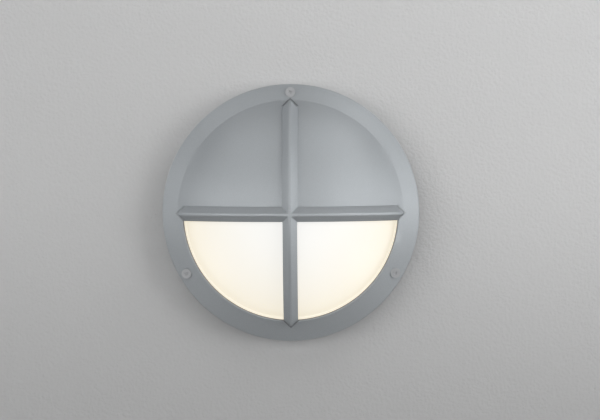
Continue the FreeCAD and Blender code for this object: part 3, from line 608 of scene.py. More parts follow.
@dataclass(frozen=True)
class BareMetal(Finish):
    """Bare or plated metal with turning marks on turned pieces."""

    color: Color = (0.62, 0.62, 0.62)
    tarnish: Color = (0.48, 0.47, 0.46)
    patina_noise: Span = (0.45, 0.75)
    patina_share: Span = (0.0, 0.7)
    gloss: Span = (0.24, 0.40)

    def shade(self, canvas: Canvas) -> None:
        """Lays out the metal.

        Args:
            canvas: The material's canvas.
        """
        grain = canvas.effect(Effect.GRAIN, canvas.coords(), Fine_Scale=2200.0, Broad_Scale=130.0)
        lathe = canvas.effect(Effect.LATHE, canvas.attribute("lathe"), Scale=5200.0)
        patina = canvas.span(grain["Broad"], self.patina_noise, self.patina_share)
        canvas.relief(lathe["Lines"], strength=0.10, depth_mm=0.05)
        canvas.set(Base_Color=canvas.mix(patina, self.color, self.tarnish),
                   Roughness=canvas.span(grain["Fine"], NOISE, self.gloss), Metallic=1.0)


@dataclass(frozen=True)
class Moulding(Finish):
    """Moulded plastic with a fine spark-eroded texture."""

    color: Color = (0.80, 0.79, 0.74)
    shade_color: Color = (0.72, 0.71, 0.66)
    gloss: Span = (0.40, 0.54)

    def shade(self, canvas: Canvas) -> None:
        """Lays out the plastic.

        Args:
            canvas: The material's canvas.
        """
        grain = canvas.effect(Effect.GRAIN, canvas.coords(), Fine_Scale=1500.0, Broad_Scale=60.0)
        tone = canvas.span(grain["Broad"], TONE)
        canvas.relief(grain["Fine"], strength=0.12, depth_mm=0.04)
        canvas.set(Base_Color=canvas.mix(tone, self.color, self.shade_color),
                   Roughness=canvas.span(grain["Fine"], NOISE, self.gloss))


@dataclass(frozen=True)
class SoftRubber(Finish):
    """Rubber, foam or silicone with open pores and a film of dust."""

    color: Color = (0.05, 0.05, 0.05)
    pale: Color = (0.09, 0.09, 0.09)
    dust: Color = (0.35, 0.34, 0.32)
    film: float = 0.15
    gloss: Span = (0.68, 0.85)
    pores: float = 1400.0
    depth_mm: float = 0.10

    def shade(self, canvas: Canvas) -> None:
        """Lays out the rubber.

        Args:
            canvas: The material's canvas.
        """
        place = canvas.coords()
        grain = canvas.effect(Effect.GRAIN, place, Fine_Scale=self.pores, Broad_Scale=90.0)
        dust = canvas.effect(Effect.DUST, place, Scale=120.0)
        color = canvas.mix(canvas.span(grain["Broad"], TONE), self.color, self.pale)
        color = canvas.mix(canvas.span(dust["Mask"], FULL, (0.0, self.film)), color, self.dust)
        canvas.relief(grain["Fine"], strength=0.30, depth_mm=self.depth_mm)
        canvas.set(Base_Color=color, Roughness=canvas.span(grain["Fine"], NOISE, self.gloss))


@dataclass(frozen=True)
class Glaze(Finish):
    """Glossy enamel or porcelain glaze with a slight ripple."""

    color: Color = (0.86, 0.86, 0.84)
    warm: Color = (0.82, 0.81, 0.77)
    warm_noise: Span = (0.4, 0.75)
    gloss: Span = (0.14, 0.24)

    def shade(self, canvas: Canvas) -> None:
        """Lays out the glaze.

        Args:
            canvas: The material's canvas.
        """
        grain = canvas.effect(Effect.GRAIN, canvas.coords(), Fine_Scale=380.0, Broad_Scale=35.0)
        tone = canvas.span(grain["Broad"], self.warm_noise)
        canvas.relief(grain["Height"], strength=0.06, depth_mm=0.12)
        canvas.set(Base_Color=canvas.mix(tone, self.color, self.warm), Coat_Weight=0.3, Coat_Roughness=0.08,
                   Roughness=canvas.span(grain["Broad"], NOISE, self.gloss))


@dataclass(frozen=True)
class Insulation(Finish):
    """Wire insulation, a little uneven in tone, plain or with a stripe along its length."""

    color: Color = (0.15, 0.065, 0.028)
    pale: Color = (0.19, 0.085, 0.038)
    gloss: Span = (0.30, 0.44)
    stripe: Color | None = None
    stripe_edge: Span = (0.36, 0.40)

    def shade(self, canvas: Canvas) -> None:
        """Lays out the insulation.

        Args:
            canvas: The material's canvas.
        """
        grain = canvas.effect(Effect.GRAIN, canvas.coords(), Fine_Scale=1600.0, Broad_Scale=150.0)
        color = canvas.mix(canvas.span(grain["Broad"], TONE), self.color, self.pale)
        if self.stripe is not None:
            color = canvas.mix(canvas.span(canvas.attribute("around"), self.stripe_edge), color, self.stripe)
        canvas.relief(grain["Fine"], strength=0.06, depth_mm=0.03)
        canvas.set(Base_Color=color, Roughness=canvas.span(grain["Broad"], NOISE, self.gloss))


class Palette:
    """Every finish of the light, by what it is on."""

    CASTING = SilverCoat("silver_coating", seam_mm=(112.2, 113.2))
    PAN = SilverCoat("pan_coating", dark=(0.37, 0.385, 0.40), light=(0.43, 0.445, 0.46), gloss=(0.48, 0.60))
    DOME = Opal("opal_dome", spent_mm=(34.2, 36.2))
    SPRING = BareMetal("spring_steel", color=(0.54, 0.54, 0.55), tarnish=(0.40, 0.39, 0.38))
    ZINC = BareMetal("zinc_steel", color=(0.62, 0.63, 0.66), tarnish=(0.50, 0.49, 0.46))
    STAINLESS = BareMetal("stainless_steel", color=(0.455, 0.462, 0.472), tarnish=(0.425, 0.43, 0.44),
                          gloss=(0.56, 0.66))
    NYLON = Moulding("nylon", color=(0.85, 0.84, 0.79), shade_color=(0.79, 0.77, 0.71))
    FOAM = SoftRubber("foam_rubber", pores=1100.0, depth_mm=0.25)
    SILICONE = SoftRubber("silicone", color=(0.58, 0.58, 0.56), pale=(0.66, 0.66, 0.64), depth_mm=0.04)
    GROMMET = SoftRubber("grommet_rubber", color=(0.035, 0.035, 0.037), pale=(0.06, 0.06, 0.06),
                         depth_mm=0.05)
    ENAMEL = Glaze("white_enamel")
    PORCELAIN = Glaze("porcelain", color=(0.85, 0.84, 0.80), warm=(0.80, 0.78, 0.72))
    BRASS = BareMetal("brass", color=(0.74, 0.56, 0.27), tarnish=(0.52, 0.38, 0.17))
    LAMP_METAL = BareMetal("lamp_metal", color=(0.76, 0.76, 0.76), tarnish=(0.66, 0.66, 0.65),
                           gloss=(0.18, 0.30))
    LAMP_BLACK = Moulding("lamp_black", color=(0.02, 0.02, 0.02), shade_color=(0.035, 0.03, 0.03),
                          gloss=(0.10, 0.2))
    LAMP_WHITE = Moulding("lamp_white", color=(0.84, 0.84, 0.83), shade_color=(0.80, 0.80, 0.78),
                          gloss=(0.28, 0.36))
    LAMP_OPAL = Opal("lamp_opal", heart=(0.56, 0.545, 0.50), rim=(0.40, 0.37, 0.31), reach_mm=(0.0, 60.0),
                     centre_z_mm=-25.0)
    TERMINAL = Moulding("terminal_moulding")
    BROWN = Insulation("wire_brown")
    BLUE = Insulation("wire_blue", color=(0.03, 0.12, 0.43), pale=(0.045, 0.15, 0.50))
    GREEN = Insulation("wire_green", color=(0.075, 0.30, 0.047), pale=(0.10, 0.36, 0.06),
                       stripe=(0.72, 0.60, 0.03))


class Workshop:
    """Makes meshes into finished pieces of the light."""

    slight_crease = 6.5
    wide_face = 1.6
    shortest = 1e-9

    def __init__(self, nodes: dict[str, bpy.types.Object]) -> None:
        """Keeps the light's solids at hand."""
        self.nodes = nodes

    def finish(self, obj: bpy.types.Object, finish: Finish, body: Body, *replaced: str) -> None:
        """Dresses a piece, lets it ride on its body and reports it.

        Args:
            obj: The piece.
            finish: Its finish.
            body: The body that it moves with.
            *replaced: The solids that it stands for.
        """
        obj.data.materials.clear()
        obj.data.materials.append(finish.material())
        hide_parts(*replaced)
        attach(obj, body.value)
        LOG.info("%s on %s: %d faces", obj.name, body.value, len(obj.data.polygons))

    def smooth(self, mesh: bpy.types.Mesh, crease: float) -> None:
        """Shades a mesh smooth between its creases, which start at an angle in degrees."""
        mesh.polygons.foreach_set("use_smooth", [True] * len(mesh.polygons))
        mesh.set_sharp_from_angle(angle=math.radians(crease))

    def is_crease(self, edge: bmesh.types.BMEdge, crease: float) -> bool:
        """Tells whether an edge is a crease: a steep one, or a slight one between two wide faces.

        Args:
            edge: The edge.
            crease: The angle in degrees from which any edge is a crease.

        Returns:
            Whether it is.
        """
        if len(edge.link_faces) != 2:
            return True
        angle = math.degrees(edge.calc_face_angle(0.0))
        if angle > crease:
            return True
        length = max(edge.calc_length(), self.shortest)
        reach = min(2 * face.calc_area() / length for face in edge.link_faces)
        return angle > self.slight_crease and reach > self.wide_face * MM

    def solid(self, node: str, name: str, finish: Finish, body: Body = Body.BASE, crease: float = CREASE,
              trim: Callable[[bmesh.types.BMesh], None] | None = None) -> None:
        """Makes a piece from a merged, smoothly shaded copy of a solid.

        Args:
            node: The solid.
            name: The piece's name.
            finish: Its finish.
            body: The body that it moves with.
            crease: The angle in degrees from which an edge is a crease.
            trim: What dresses the merged mesh before it is shaded.
        """
        work = bmesh.new()
        work.from_mesh(self.nodes[node].data)
        bmesh.ops.remove_doubles(work, verts=work.verts, dist=MERGE)
        if trim is not None:
            trim(work)
        for face in work.faces:
            face.smooth = True
        for edge in work.edges:
            edge.smooth = not self.is_crease(edge, crease)
        mesh = to_mesh(work, name)
        if "custom_normal" in mesh.attributes:
            mesh.attributes.remove(mesh.attributes["custom_normal"])
        self.finish(add_object(mesh, name), finish, body, node)

    def rows(self, name: str, rows: list[list[Point]], axis: Span = (0.0, 0.0)) -> bpy.types.Mesh:
        """Skins closed rings of points, each row joined to the next; a row of one point closes an end.

        Args:
            name: The mesh's name.
            rows: Rings of equal length, in metres, with single points at closed ends.
            axis: Where the upright axis of the rings stands, in metres.

        Returns:
            The mesh, with the distance from its own axis stored as "lathe".
        """
        work = bmesh.new()
        rings = [[work.verts.new(point) for point in row] for row in rows]
        for below, above in zip(rings, rings[1:]):
            count = max(len(below), len(above))
            for index in range(count):
                following = (index + 1) % count
                corners = [below[index % len(below)], below[following % len(below)],
                           above[following % len(above)], above[index % len(above)]]
                work.faces.new(list(dict.fromkeys(corners)))
        bmesh.ops.remove_doubles(work, verts=work.verts, dist=MERGE)
        bmesh.ops.recalc_face_normals(work, faces=work.faces)
        mesh = to_mesh(work, name)
        radius = mesh.attributes.new("lathe", "FLOAT", "POINT")
        radius.data.foreach_set("value", [(vert.co.xy - Vector(axis)).length for vert in mesh.vertices])
        return mesh

    def settle(self, obj: bpy.types.Object) -> None:
        """Turns an object with modifiers into a plain mesh.

        Args:
            obj: The object, which is left with the mesh alone.
        """
        graph = bpy.context.evaluated_depsgraph_get()
        mesh = bpy.data.meshes.new_from_object(obj.evaluated_get(graph), preserve_all_data_layers=True,
                                               depsgraph=graph)
        obj.modifiers.clear()
        obj.data = mesh


@dataclass(frozen=True)
class ScrewSize:
    """Sizes of one kind of pan-head screw, in millimetres, with shares of its head, pitch or shank."""

    name: str
    head_radius: float
    head_height: float
    shank_radius: float
    length: float
    pitch: float
    edge_round: float = 0.25
    recess_floor: float = 0.5
    crown_shares: tuple[float, ...] = (0.35, 0.7, 0.9)
    crown_fall: float = 0.004
    edge_steps: int = 6
    seat_bevel: float = 0.12
    thread_share: float = 0.55
    thread_rows: int = 6
    thread_end: float = 0.1
    tip_share: float = 0.6
    blade_foot: Span = (0.24, 0.07)
    blade_top: Span = (0.66, 0.16)
    blade_rise: float = 1.3
    segments: int = 40
    crease: float = 35.0

    def mesh(self, shop: Workshop) -> bpy.types.Mesh:
        """Builds one screw that stands on its seat at the origin with its head up.

        Args:
            shop: The workshop.

        Returns:
            The screw's mesh, with a crossed recess and a helical thread.
        """
        blank = add_object(shop.rows(self.name, self._head() + self._shank()), self.name)
        for turn in (0.0, math.pi / 2):
            cutter = add_object(self._blade(turn), self.name + "_blade")
            cut = blank.modifiers.new("recess", "BOOLEAN")
            cut.operation = "DIFFERENCE"
            cut.solver = "EXACT"
            cut.object = cutter
            shop.settle(blank)
            bpy.data.objects.remove(cutter)
        mesh = blank.data
        bpy.data.objects.remove(blank)
        shop.smooth(mesh, self.crease)
        return mesh

    def _ring(self, radius: float, height: float) -> list[Point]:
        """Gives a level ring of points in metres."""
        turns = [FULL_TURN / self.segments * index for index in range(self.segments)]
        return [(radius * MM * math.cos(turn), radius * MM * math.sin(turn), height * MM) for turn in turns]

    def _head(self) -> list[list[Point]]:
        """Gives the head's rows.

        Returns:
            Rings from the middle of its top to its seat.
        """
        bend = self.edge_round * self.head_height
        flat = self.head_radius - bend
        rows = [[(0.0, 0.0, self.head_height * MM)]]
        for share in self.crown_shares:
            rows.append(self._ring(share * flat, self.head_height - self.crown_fall * share))
        for step in range(self.edge_steps + 1):
            angle = math.pi / 2 * step / self.edge_steps
            height = self.head_height - bend + bend * math.cos(angle)
            rows.append(self._ring(flat + bend * math.sin(angle), height))
        rows.append(self._ring(self.head_radius, self.seat_bevel))
        rows.append(self._ring(self.head_radius - self.seat_bevel, 0.0))
        rows.append(self._ring(self.shank_radius, 0.0))
        return rows

    def _shank(self) -> list[list[Point]]:
        """Gives the threaded shank's rows.

        Returns:
            Rings from the seat to the middle of its tip.
        """
        rows = []
        depth = self.thread_share * self.pitch
        count = int(self.length / self.pitch * self.thread_rows)
        for row in range(1, count):
            height = -self.length * row / count
            fade = min(1.0, -height / self.pitch, (self.length + height) / self.pitch)
            ring = []
            for index in range(self.segments):
                turn = index / self.segments
                groove = abs(2 * ((height / self.pitch - turn) % 1.0) - 1)
                radius = (self.shank_radius - depth * fade * groove - (1 - fade) * self.thread_end) * MM
                angle = FULL_TURN * turn
                ring.append((radius * math.cos(angle), radius * math.sin(angle), height * MM))
            rows.append(ring)
        rows.append(self._ring(self.tip_share * self.shank_radius, -self.length))
        rows.append([(0.0, 0.0, -self.length * MM)])
        return rows

    def _blade(self, turn: float) -> bpy.types.Mesh:
        """Builds one tapered blade of the crossed recess.

        Args:
            turn: How far the blade is turned about the screw.

        Returns:
            The blade's mesh.
        """
        work = bmesh.new()
        rings = []
        for share, (long_half, short_half) in ((self.recess_floor, self.blade_foot),
                                               (self.blade_rise, self.blade_top)):
            ring = []
            for x, y in SQUARE:
                point = Vector((x * long_half, y * short_half, 0)) * self.head_radius * MM
                point.z = self.head_height * share * MM
                ring.append(work.verts.new(Matrix.Rotation(turn, 3, "Z") @ point))
            rings.append(ring)
        bottom, upper = rings
        work.faces.new(bottom[::-1])
        work.faces.new(upper)
        for index in range(len(SQUARE)):
            following = (index + 1) % len(SQUARE)
            work.faces.new((bottom[index], bottom[following], upper[following], upper[index]))
        return to_mesh(work, "blade")


class ScrewSetter:
    """Sets screws into their seats with a Geometry Nodes tree."""

    turns: Span = (0.2, 1.4)

    def __init__(self, shop: Workshop) -> None:
        """Builds the tree.

        Args:
            shop: The workshop.
        """
        self.shop = shop
        self.tree = bpy.data.node_groups.new("Set screws", "GeometryNodeTree")
        self.sockets = self._build(Bench(self.tree))

    def _build(self, bench: Bench) -> dict[str, str]:
        """Lays out the tree: a screw on each point, turned to face out, at its own turn.

        Args:
            bench: The empty tree.

        Returns:
            The identifiers of its sockets.
        """
        sockets = bench.sockets({"Seats": "Geometry", "Screw": "Object", "Seed": "Int", "Finish": "Material"},
                                {"Screws": "Geometry"})
        start = bench.start()
        screw = bench.node("GeometryNodeObjectInfo", {"Object": start["Screw"]}).outputs["Geometry"]
        facing = bench.node("GeometryNodeInputNamedAttribute", {"Name": "facing"}, data_type="FLOAT_VECTOR")
        outward = of_kind(facing.outputs, "VECTOR")[0]
        align = bench.node("FunctionNodeAlignRotationToVector", {"Vector": outward},
                           axis="Z").outputs["Rotation"]
        chance = bench.node("FunctionNodeRandomValue", {"Seed": start["Seed"]}, data_type="FLOAT")
        for socket, turn in zip(of_kind(chance.inputs, "VALUE"), self.turns):
            bench.put(socket, turn)
        spin = bench.node("FunctionNodeAxisAngleToRotation",
                          {"Axis": UP, "Angle": of_kind(chance.outputs, "VALUE")[0]}).outputs["Rotation"]
        turned = bench.node("FunctionNodeRotateRotation", {"Rotation": align, "Rotate By": spin},
                            rotation_space="LOCAL").outputs["Rotation"]
        placed = bench.node("GeometryNodeInstanceOnPoints",
                            {"Points": start["Seats"], "Instance": screw, "Rotation": turned})
        bench.close(placed.outputs["Instances"], start["Finish"], "Screws")
        return sockets

    def set(self, node: str, name: str, size: ScrewSize, seats: list[Point], seed: int,
            facing: Point = TO_ROOM, finish: Finish = Palette.ZINC, body: Body = Body.BASE) -> None:
        """Sets screws of one size into their seats.

        Args:
            node: The solid that they stand for.
            name: The piece's name.
            size: The screws' size.
            seats: Where they sit, in millimetres.
            seed: What their turns come from.
            facing: The way their heads face.
            finish: Their finish.
            body: The body that they move with.
        """
        pattern = add_object(size.mesh(self.shop), size.name)
        points = bpy.data.meshes.new(name)
        points.from_pydata([Vector(seat) * MM for seat in seats], [], [])
        out = points.attributes.new("facing", "FLOAT_VECTOR", "POINT")
        out.data.foreach_set("vector", [value for _ in seats for value in facing])
        obj = add_object(points, name)
        setter = obj.modifiers.new("screws", "NODES")
        setter.node_group = self.tree
        setter[self.sockets["Screw"]] = pattern
        setter[self.sockets["Seed"]] = seed
        setter[self.sockets["Finish"]] = finish.material()
        self.shop.settle(obj)
        bpy.data.objects.remove(pattern)
        self.shop.smooth(obj.data, size.crease)
        self.shop.finish(obj, finish, body, node)


@dataclass
class FrontCover:
    """The front casting, the opal dome, its clips and the captive screws."""

    shop: Workshop
    setter: ScrewSetter
    casting_crease: float = 24.0
    screw_circle: float = 126.6
    screw_seat: float = 35.339
    screw_angles: tuple[tuple[Body, float], ...] = (
        (Body.SCREW_TOP, 90.0), (Body.SCREW_LEFT, 210.0), (Body.SCREW_RIGHT, 330.0))
    clip_circle: float = 120.45
    clip_seat: float = 32.87
    clip_angles: tuple[float, ...] = (30.0, 150.0, 270.0)
    visor_sphere: float = 174.027
    visor_centre: float = -87.049
    visor_foot: float = 118.2
    ring_fall: float = 0.6356
    fillet_across: Span = (6.35, 9.0)
    fillet_end: float = 111.5
    fillet_proud: Span = (0.01, 3.0)
    tip_lean: float = 0.1405
    sliver: float = 1e-5
    cover_screw: ScrewSize = ScrewSize("cover_screw", 5.2, 3.3, 2.5, 20.0, 0.8, 0.03, 0.82)
    clip_screw: ScrewSize = ScrewSize("clip_screw", 2.75, 1.8, 1.5, 4.6, 0.5)

    def build(self) -> None:
        """Builds every piece of the cover."""
        self.shop.solid("front_frame", "casting", Palette.CASTING, Body.COVER, self.casting_crease,
                        self._run_out)
        for node, name, finish in (("diffuser", "opal_shade", Palette.DOME),
                                   ("diffuser_clips", "shade_clips", Palette.SPRING),
                                   ("screw_retainers", "retaining_rings", Palette.NYLON)):
            self.shop.solid(node, name, finish, Body.COVER)
        seats = [around(self.clip_circle, angle, self.clip_seat) for angle in self.clip_angles]
        self.setter.set("clip_screws", "shade_clip_screws", self.clip_screw, seats, seed=3, facing=TO_WALL,
                        body=Body.COVER)
        for body, angle in self.screw_angles:
            seat = around(self.screw_circle, angle, self.screw_seat)
            self.setter.set(body.value, "captive_" + body.value, self.cover_screw, [seat], seed=int(angle),
                            finish=Palette.STAINLESS, body=body)

    def _run_out(self, work: bmesh.types.BMesh) -> None:
        """Lets the visor's fillets run out beside the tips of the bars.

        Args:
            work: The casting's merged mesh.
        """
        low, high = self.fillet_across
        least, most = self.fillet_proud
        for vert in work.verts:
            x, z = abs(vert.co.x) / MM, vert.co.z / MM
            for across, along, axis in ((x, z, 2), (z, x, 0)):
                proud = -vert.co.y / MM - self._front(across, along)
                if low < across < high and along > self.fillet_end and least < proud < most:
                    along += self.tip_lean * proud
                    vert.co[axis] = math.copysign(along * MM, vert.co[axis])
                    vert.co.y = -self._front(across, along) * MM
        bmesh.ops.dissolve_degenerate(work, dist=self.sliver, edges=work.edges)

    def _front(self, across: float, along: float) -> float:
        """Gives how far the visor or the ring stands out at a place.

        Args:
            across: The distance from the bar's middle.
            along: The distance along the bar.

        Returns:
            The depth in millimetres.
        """
        radius = math.hypot(across, along)
        foot = self.visor_centre + math.sqrt(self.visor_sphere ** 2 - min(radius, self.visor_foot) ** 2)
        return foot - self.ring_fall * max(radius - self.visor_foot, 0.0)


@dataclass
class WallPan:
    """The pan on the wall with its seals, its cable entry and the reflector tray."""

    shop: Workshop
    setter: ScrewSetter
    tray_front: float = 10.0
    post_circle: float = 86.0
    post_angles: tuple[float, ...] = (35.5, 144.5, 215.5)
    tray_screw: ScrewSize = ScrewSize("tray_screw", 3.2, 2.2, 1.75, 6.0, 0.6)

    def build(self) -> None:
        """Builds every piece of the pan."""
        for node, name, finish in (("wall_base", "pan", Palette.PAN),
                                   ("wall_seal", "wall_foam", Palette.FOAM),
                                   ("rim_gasket", "rim_seal", Palette.SILICONE),
                                   ("fixing_seals", "fixing_washers", Palette.FOAM),
                                   ("cable_grommet", "cable_bush", Palette.GROMMET),
                                   ("reflector_tray", "reflector", Palette.ENAMEL)):
            self.shop.solid(node, name, finish)
        seats = [around(self.post_circle, angle, self.tray_front) for angle in self.post_angles]
        self.setter.set("tray_screws", "reflector_screws", self.tray_screw, seats, seed=11)


@dataclass
class LampHolder:
    """The lamp holder on its bracket."""

    shop: Workshop
    setter: ScrewSetter
    lamp_depth: float = 41.0
    bracket_front: float = 11.5
    bracket_top: float = 79.664
    bracket_screw_x: float = 16.0
    bracket_screw_z: float = 66.164
    holder_screw_x: float = 8.0
    bracket_screw: ScrewSize = ScrewSize("bracket_screw", 3.6, 2.6, 2.0, 6.5, 0.7)
    holder_screw: ScrewSize = ScrewSize("holder_screw", 3.6, 2.6, 2.0, 9.0, 0.7)

    def build(self) -> None:
        """Builds every piece of the holder."""
        for node, name, finish in (("holder_bracket", "bracket", Palette.ZINC),
                                   ("lamp_holder_body", "holder_porcelain", Palette.PORCELAIN),
                                   ("lamp_holder_shell", "holder_sleeve", Palette.BRASS),
                                   ("lamp_holder_contact", "holder_spring", Palette.BRASS)):
            self.shop.solid(node, name, finish)
        feet = [(side * self.bracket_screw_x, -self.bracket_front, self.bracket_screw_z) for side in (-1, 1)]
        self.setter.set("bracket_screws", "bracket_foot_screws", self.bracket_screw, feet, seed=21)
        tops = [(side * self.holder_screw_x, -self.lamp_depth, self.bracket_top) for side in (-1, 1)]
        self.setter.set("holder_screws", "holder_top_screws", self.holder_screw, tops, seed=22, facing=UP)


@dataclass
class Lamp:
    """The screw-in lamp."""

    shop: Workshop
    depth: float = 41.0
    cap_z: float = 37.164
    cap_length: float = 20.0
    cap_radius: float = 13.2
    cap_groove: float = 0.8
    cap_wall: float = 0.5
    cap_crease: float = 40.0
    cap_steps: int = 60
    pitch: float = 3.6
    thread_fades: Span = (2.0, 1.2)
    segments: int = 72

    def build(self) -> None:
        """Builds every piece of the lamp."""
        for node, name, finish in (("lamp_globe", "bulb", Palette.LAMP_OPAL),
                                   ("lamp_collar", "bulb_collar", Palette.LAMP_WHITE),
                                   ("lamp_insulator", "cap_insulator", Palette.LAMP_BLACK)):
            self.shop.solid(node, name, finish, Body.LAMP)
        self.shop.solid("lamp_tip_contact", "cap_tip", Palette.LAMP_METAL, Body.LAMP_CARRIER)
        mesh = self.shop.rows("screw_cap", self._cap_rows(), (0.0, -self.depth * MM))
        self.shop.smooth(mesh, self.cap_crease)
        self.shop.finish(add_object(mesh, "screw_cap"), Palette.LAMP_METAL, Body.LAMP, "lamp_cap")

    def _cap_rows(self) -> list[list[Point]]:
        """Gives the cap's rows.

        Returns:
            Rings up the threaded outside and back down its bore.
        """
        first, last = self.thread_fades
        half = self.cap_groove / 2
        mean = self.cap_radius - half
        rows = []
        for step in range(self.cap_steps + 1):
            height = self.cap_length * step / self.cap_steps
            fade = min(1.0, height / first, (self.cap_length - height) / last)
            ring = []
            for index in range(self.segments):
                turn = index / self.segments
                wave = math.cos(FULL_TURN * (height / self.pitch - turn))
                radius = mean - (1 - fade) * half + fade * wave * half
                ring.append(self._place(radius, turn, self.cap_z + height))
            rows.append(ring)
        bore = self.cap_radius - self.cap_groove - self.cap_wall
        for height in (self.cap_z + self.cap_length, self.cap_z):
            rows.append([self._place(bore, index / self.segments, height) for index in range(self.segments)])
        return rows + rows[:1]

    def _place(self, radius: float, turn: float, height: float) -> Point:
        """Gives a place about the lamp's axis, in metres."""
        angle = FULL_TURN * turn
        return radius * math.cos(angle) * MM, (radius * math.sin(angle) - self.depth) * MM, height * MM


@dataclass
class Terminals:
    """The terminal block and the earth point."""

    shop: Workshop
    setter: ScrewSetter
    block_x: float = 60.0
    block_z: float = -34.0
    screw_step: float = 5.5
    screw_seat: float = 15.8
    earth_seat: Point = (36.0, -7.6, -72.0)
    block_screw: ScrewSize = ScrewSize("block_screw", 3.2, 2.2, 1.75, 14.0, 0.6)
    earth_screw: ScrewSize = ScrewSize("earth_clamp", 3.6, 2.6, 2.0, 6.0, 0.7)

    def build(self) -> None:
        """Builds every piece of the terminals."""
        for node, name, finish in (("terminal_block", "connector", Palette.TERMINAL),
                                   ("terminal_tubes", "connector_tubes", Palette.BRASS),
                                   ("terminal_screws", "connector_grubs", Palette.ZINC),
                                   ("earth_tag", "earth_lug", Palette.BRASS),
                                   ("earth_washer", "earth_ring", Palette.ZINC)):
            self.shop.solid(node, name, finish)
        seats = [(self.block_x, -self.screw_seat, self.block_z + side * self.screw_step) for side in (1, -1)]
        self.setter.set("terminal_fixing_screws", "connector_screws", self.block_screw, seats, seed=31)
        self.setter.set("earth_screw", "earth_clamp_screw", self.earth_screw, [self.earth_seat], seed=32)


@dataclass
class Wiring:
    """The wires from the terminals to the holder and the earth point."""

    shop: Workshop
    radius: float = 1.2
    ring_points: int = 24
    crease: float = 60.0
    depth: float = 7.0
    arc_share: float = 0.45
    arc_steps: int = 12
    tube_x: float = 57.0
    live_turn: Span = (36.0, -23.0)
    neutral_turn: Span = (32.0, -34.0)
    earth_turn: Span = (36.0, -45.0)
    earth_end_z: float = -61.5
    port_x: float = 6.0
    port_z: float = 70.164
    port_length: float = 5.0
    holder_depth: float = 41.0
    holder_radius: float = 18.5

    def build(self) -> None:
        """Builds the three wires."""
        tree, sockets = self._tree()
        live = self._to_port(self.live_turn, self.port_x)
        neutral = self._to_port(self.neutral_turn, -self.port_x)
        earth = [*self._start(self.earth_turn), (self.earth_turn[0], -self.depth, self.earth_end_z)]
        for node, name, corners, finish in (("wire_live", "live_wire", live, Palette.BROWN),
                                            ("wire_neutral", "neutral_wire", neutral, Palette.BLUE),
                                            ("wire_earth", "earth_wire", earth, Palette.GREEN)):
            path = self._path([Vector(corner) for corner in corners])
            mesh = bpy.data.meshes.new(name)
            mesh.from_pydata([point * MM for point in path], [(i, i + 1) for i in range(len(path) - 1)], [])
            obj = add_object(mesh, name)
            tube = obj.modifiers.new("tube", "NODES")
            tube.node_group = tree
            tube[sockets["Radius"]] = self.radius * MM
            tube[sockets["Finish"]] = finish.material()
            self.shop.settle(obj)
            self.shop.smooth(obj.data, self.crease)
            self.shop.finish(obj, finish, Body.BASE, node)

    def _start(self, turn: Span) -> list[Point]:
        """Gives a wire's first run, from its terminal to its first turn."""
        return [(self.tube_x, -self.depth, turn[1]), (turn[0], -self.depth, turn[1])]

    def _to_port(self, turn: Span, port_x: float) -> list[Point]:
        """Gives the corners of a wire that ends in the holder.

        Args:
            turn: Where its first turn is.
            port_x: Where its port is.

        Returns:
            The corners, in millimetres.
        """
        back = self.holder_depth - math.sqrt(self.holder_radius ** 2 - self.port_x ** 2)
        return [*self._start(turn), (port_x, -self.depth, self.port_z),
                (port_x, -(back + self.port_length), self.port_z)]

    def _path(self, corners: list[Vector]) -> list[Vector]:
        """Runs a line through corners with tangent arcs as wide as the runs allow.

        Args:
            corners: The corners, in millimetres.

        Returns:
            Points along the line.
        """
        path = [corners[0]]
        for before, corner, after in zip(corners, corners[1:], corners[2:]):
            back = (before - corner).normalized()
            onward = (after - corner).normalized()
            half_turn = (math.pi - back.angle(onward)) / 2
            reach = self.arc_share * min((before - corner).length, (after - corner).length)
            bend = reach / math.tan(half_turn)
            centre = corner + (back + onward).normalized() * (bend / math.cos(half_turn))
            start, end = corner + back * reach - centre, corner + onward * reach - centre
            for step in range(self.arc_steps + 1):
                path.append(centre + start.slerp(end, step / self.arc_steps))
        path.append(corners[-1])
        return path

    def _tree(self) -> tuple[bpy.types.NodeTree, dict[str, str]]:
        """Builds the Geometry Nodes tree that sleeves a line.

        Returns:
            The tree and the identifiers of its sockets.
        """
        bench = Bench(bpy.data.node_groups.new("Sleeve wire", "GeometryNodeTree"))
        sockets = bench.sockets({"Line": "Geometry", "Radius": "Float", "Finish": "Material"},
                                {"Wire": "Geometry"})
        start = bench.start()
        curve = bench.node("GeometryNodeMeshToCurve", {"Mesh": start["Line"]}).outputs["Curve"]
        ring = bench.node("GeometryNodeCurvePrimitiveCircle",
                          {"Resolution": self.ring_points, "Radius": start["Radius"]}).outputs["Curve"]
        share = bench.node("GeometryNodeSplineParameter").outputs["Factor"]
        wave = bench.calc("COSINE", bench.calc("MULTIPLY", share, FULL_TURN))
        marked = bench.node("GeometryNodeStoreNamedAttribute",
                            {"Geometry": ring, "Name": "around", "Value": wave},
                            data_type="FLOAT", domain="POINT").outputs["Geometry"]
        sleeve = bench.node("GeometryNodeCurveToMesh",
                            {"Curve": curve, "Profile Curve": marked, "Fill Caps": True}).outputs["Mesh"]
        bench.close(sleeve, start["Finish"], "Wire")
        return bench.tree, sockets


@dataclass(frozen=True)
class StudioLamp:
    """One soft lamp of the studio: its direction in degrees, its power in watts and its side in metres."""

    name: str
    azimuth: float
    elevation: float
    energy: float
    size: float = 1.2
    distance: float = 2.6

    def hang(self, target: Point) -> None:
        """Hangs the lamp so that it faces a place.

        Args:
            target: The place, in metres.
        """
        data = bpy.data.lights.new(self.name, "AREA")
        data.shape = "SQUARE"
        data.size = self.size
        data.energy = self.energy
        place = direction(self.azimuth, self.elevation) * self.distance
        obj = add_object(data, self.name)
        obj.location = place
        obj.rotation_euler = (Vector(target) - place).to_track_quat("-Z", "Y").to_euler()


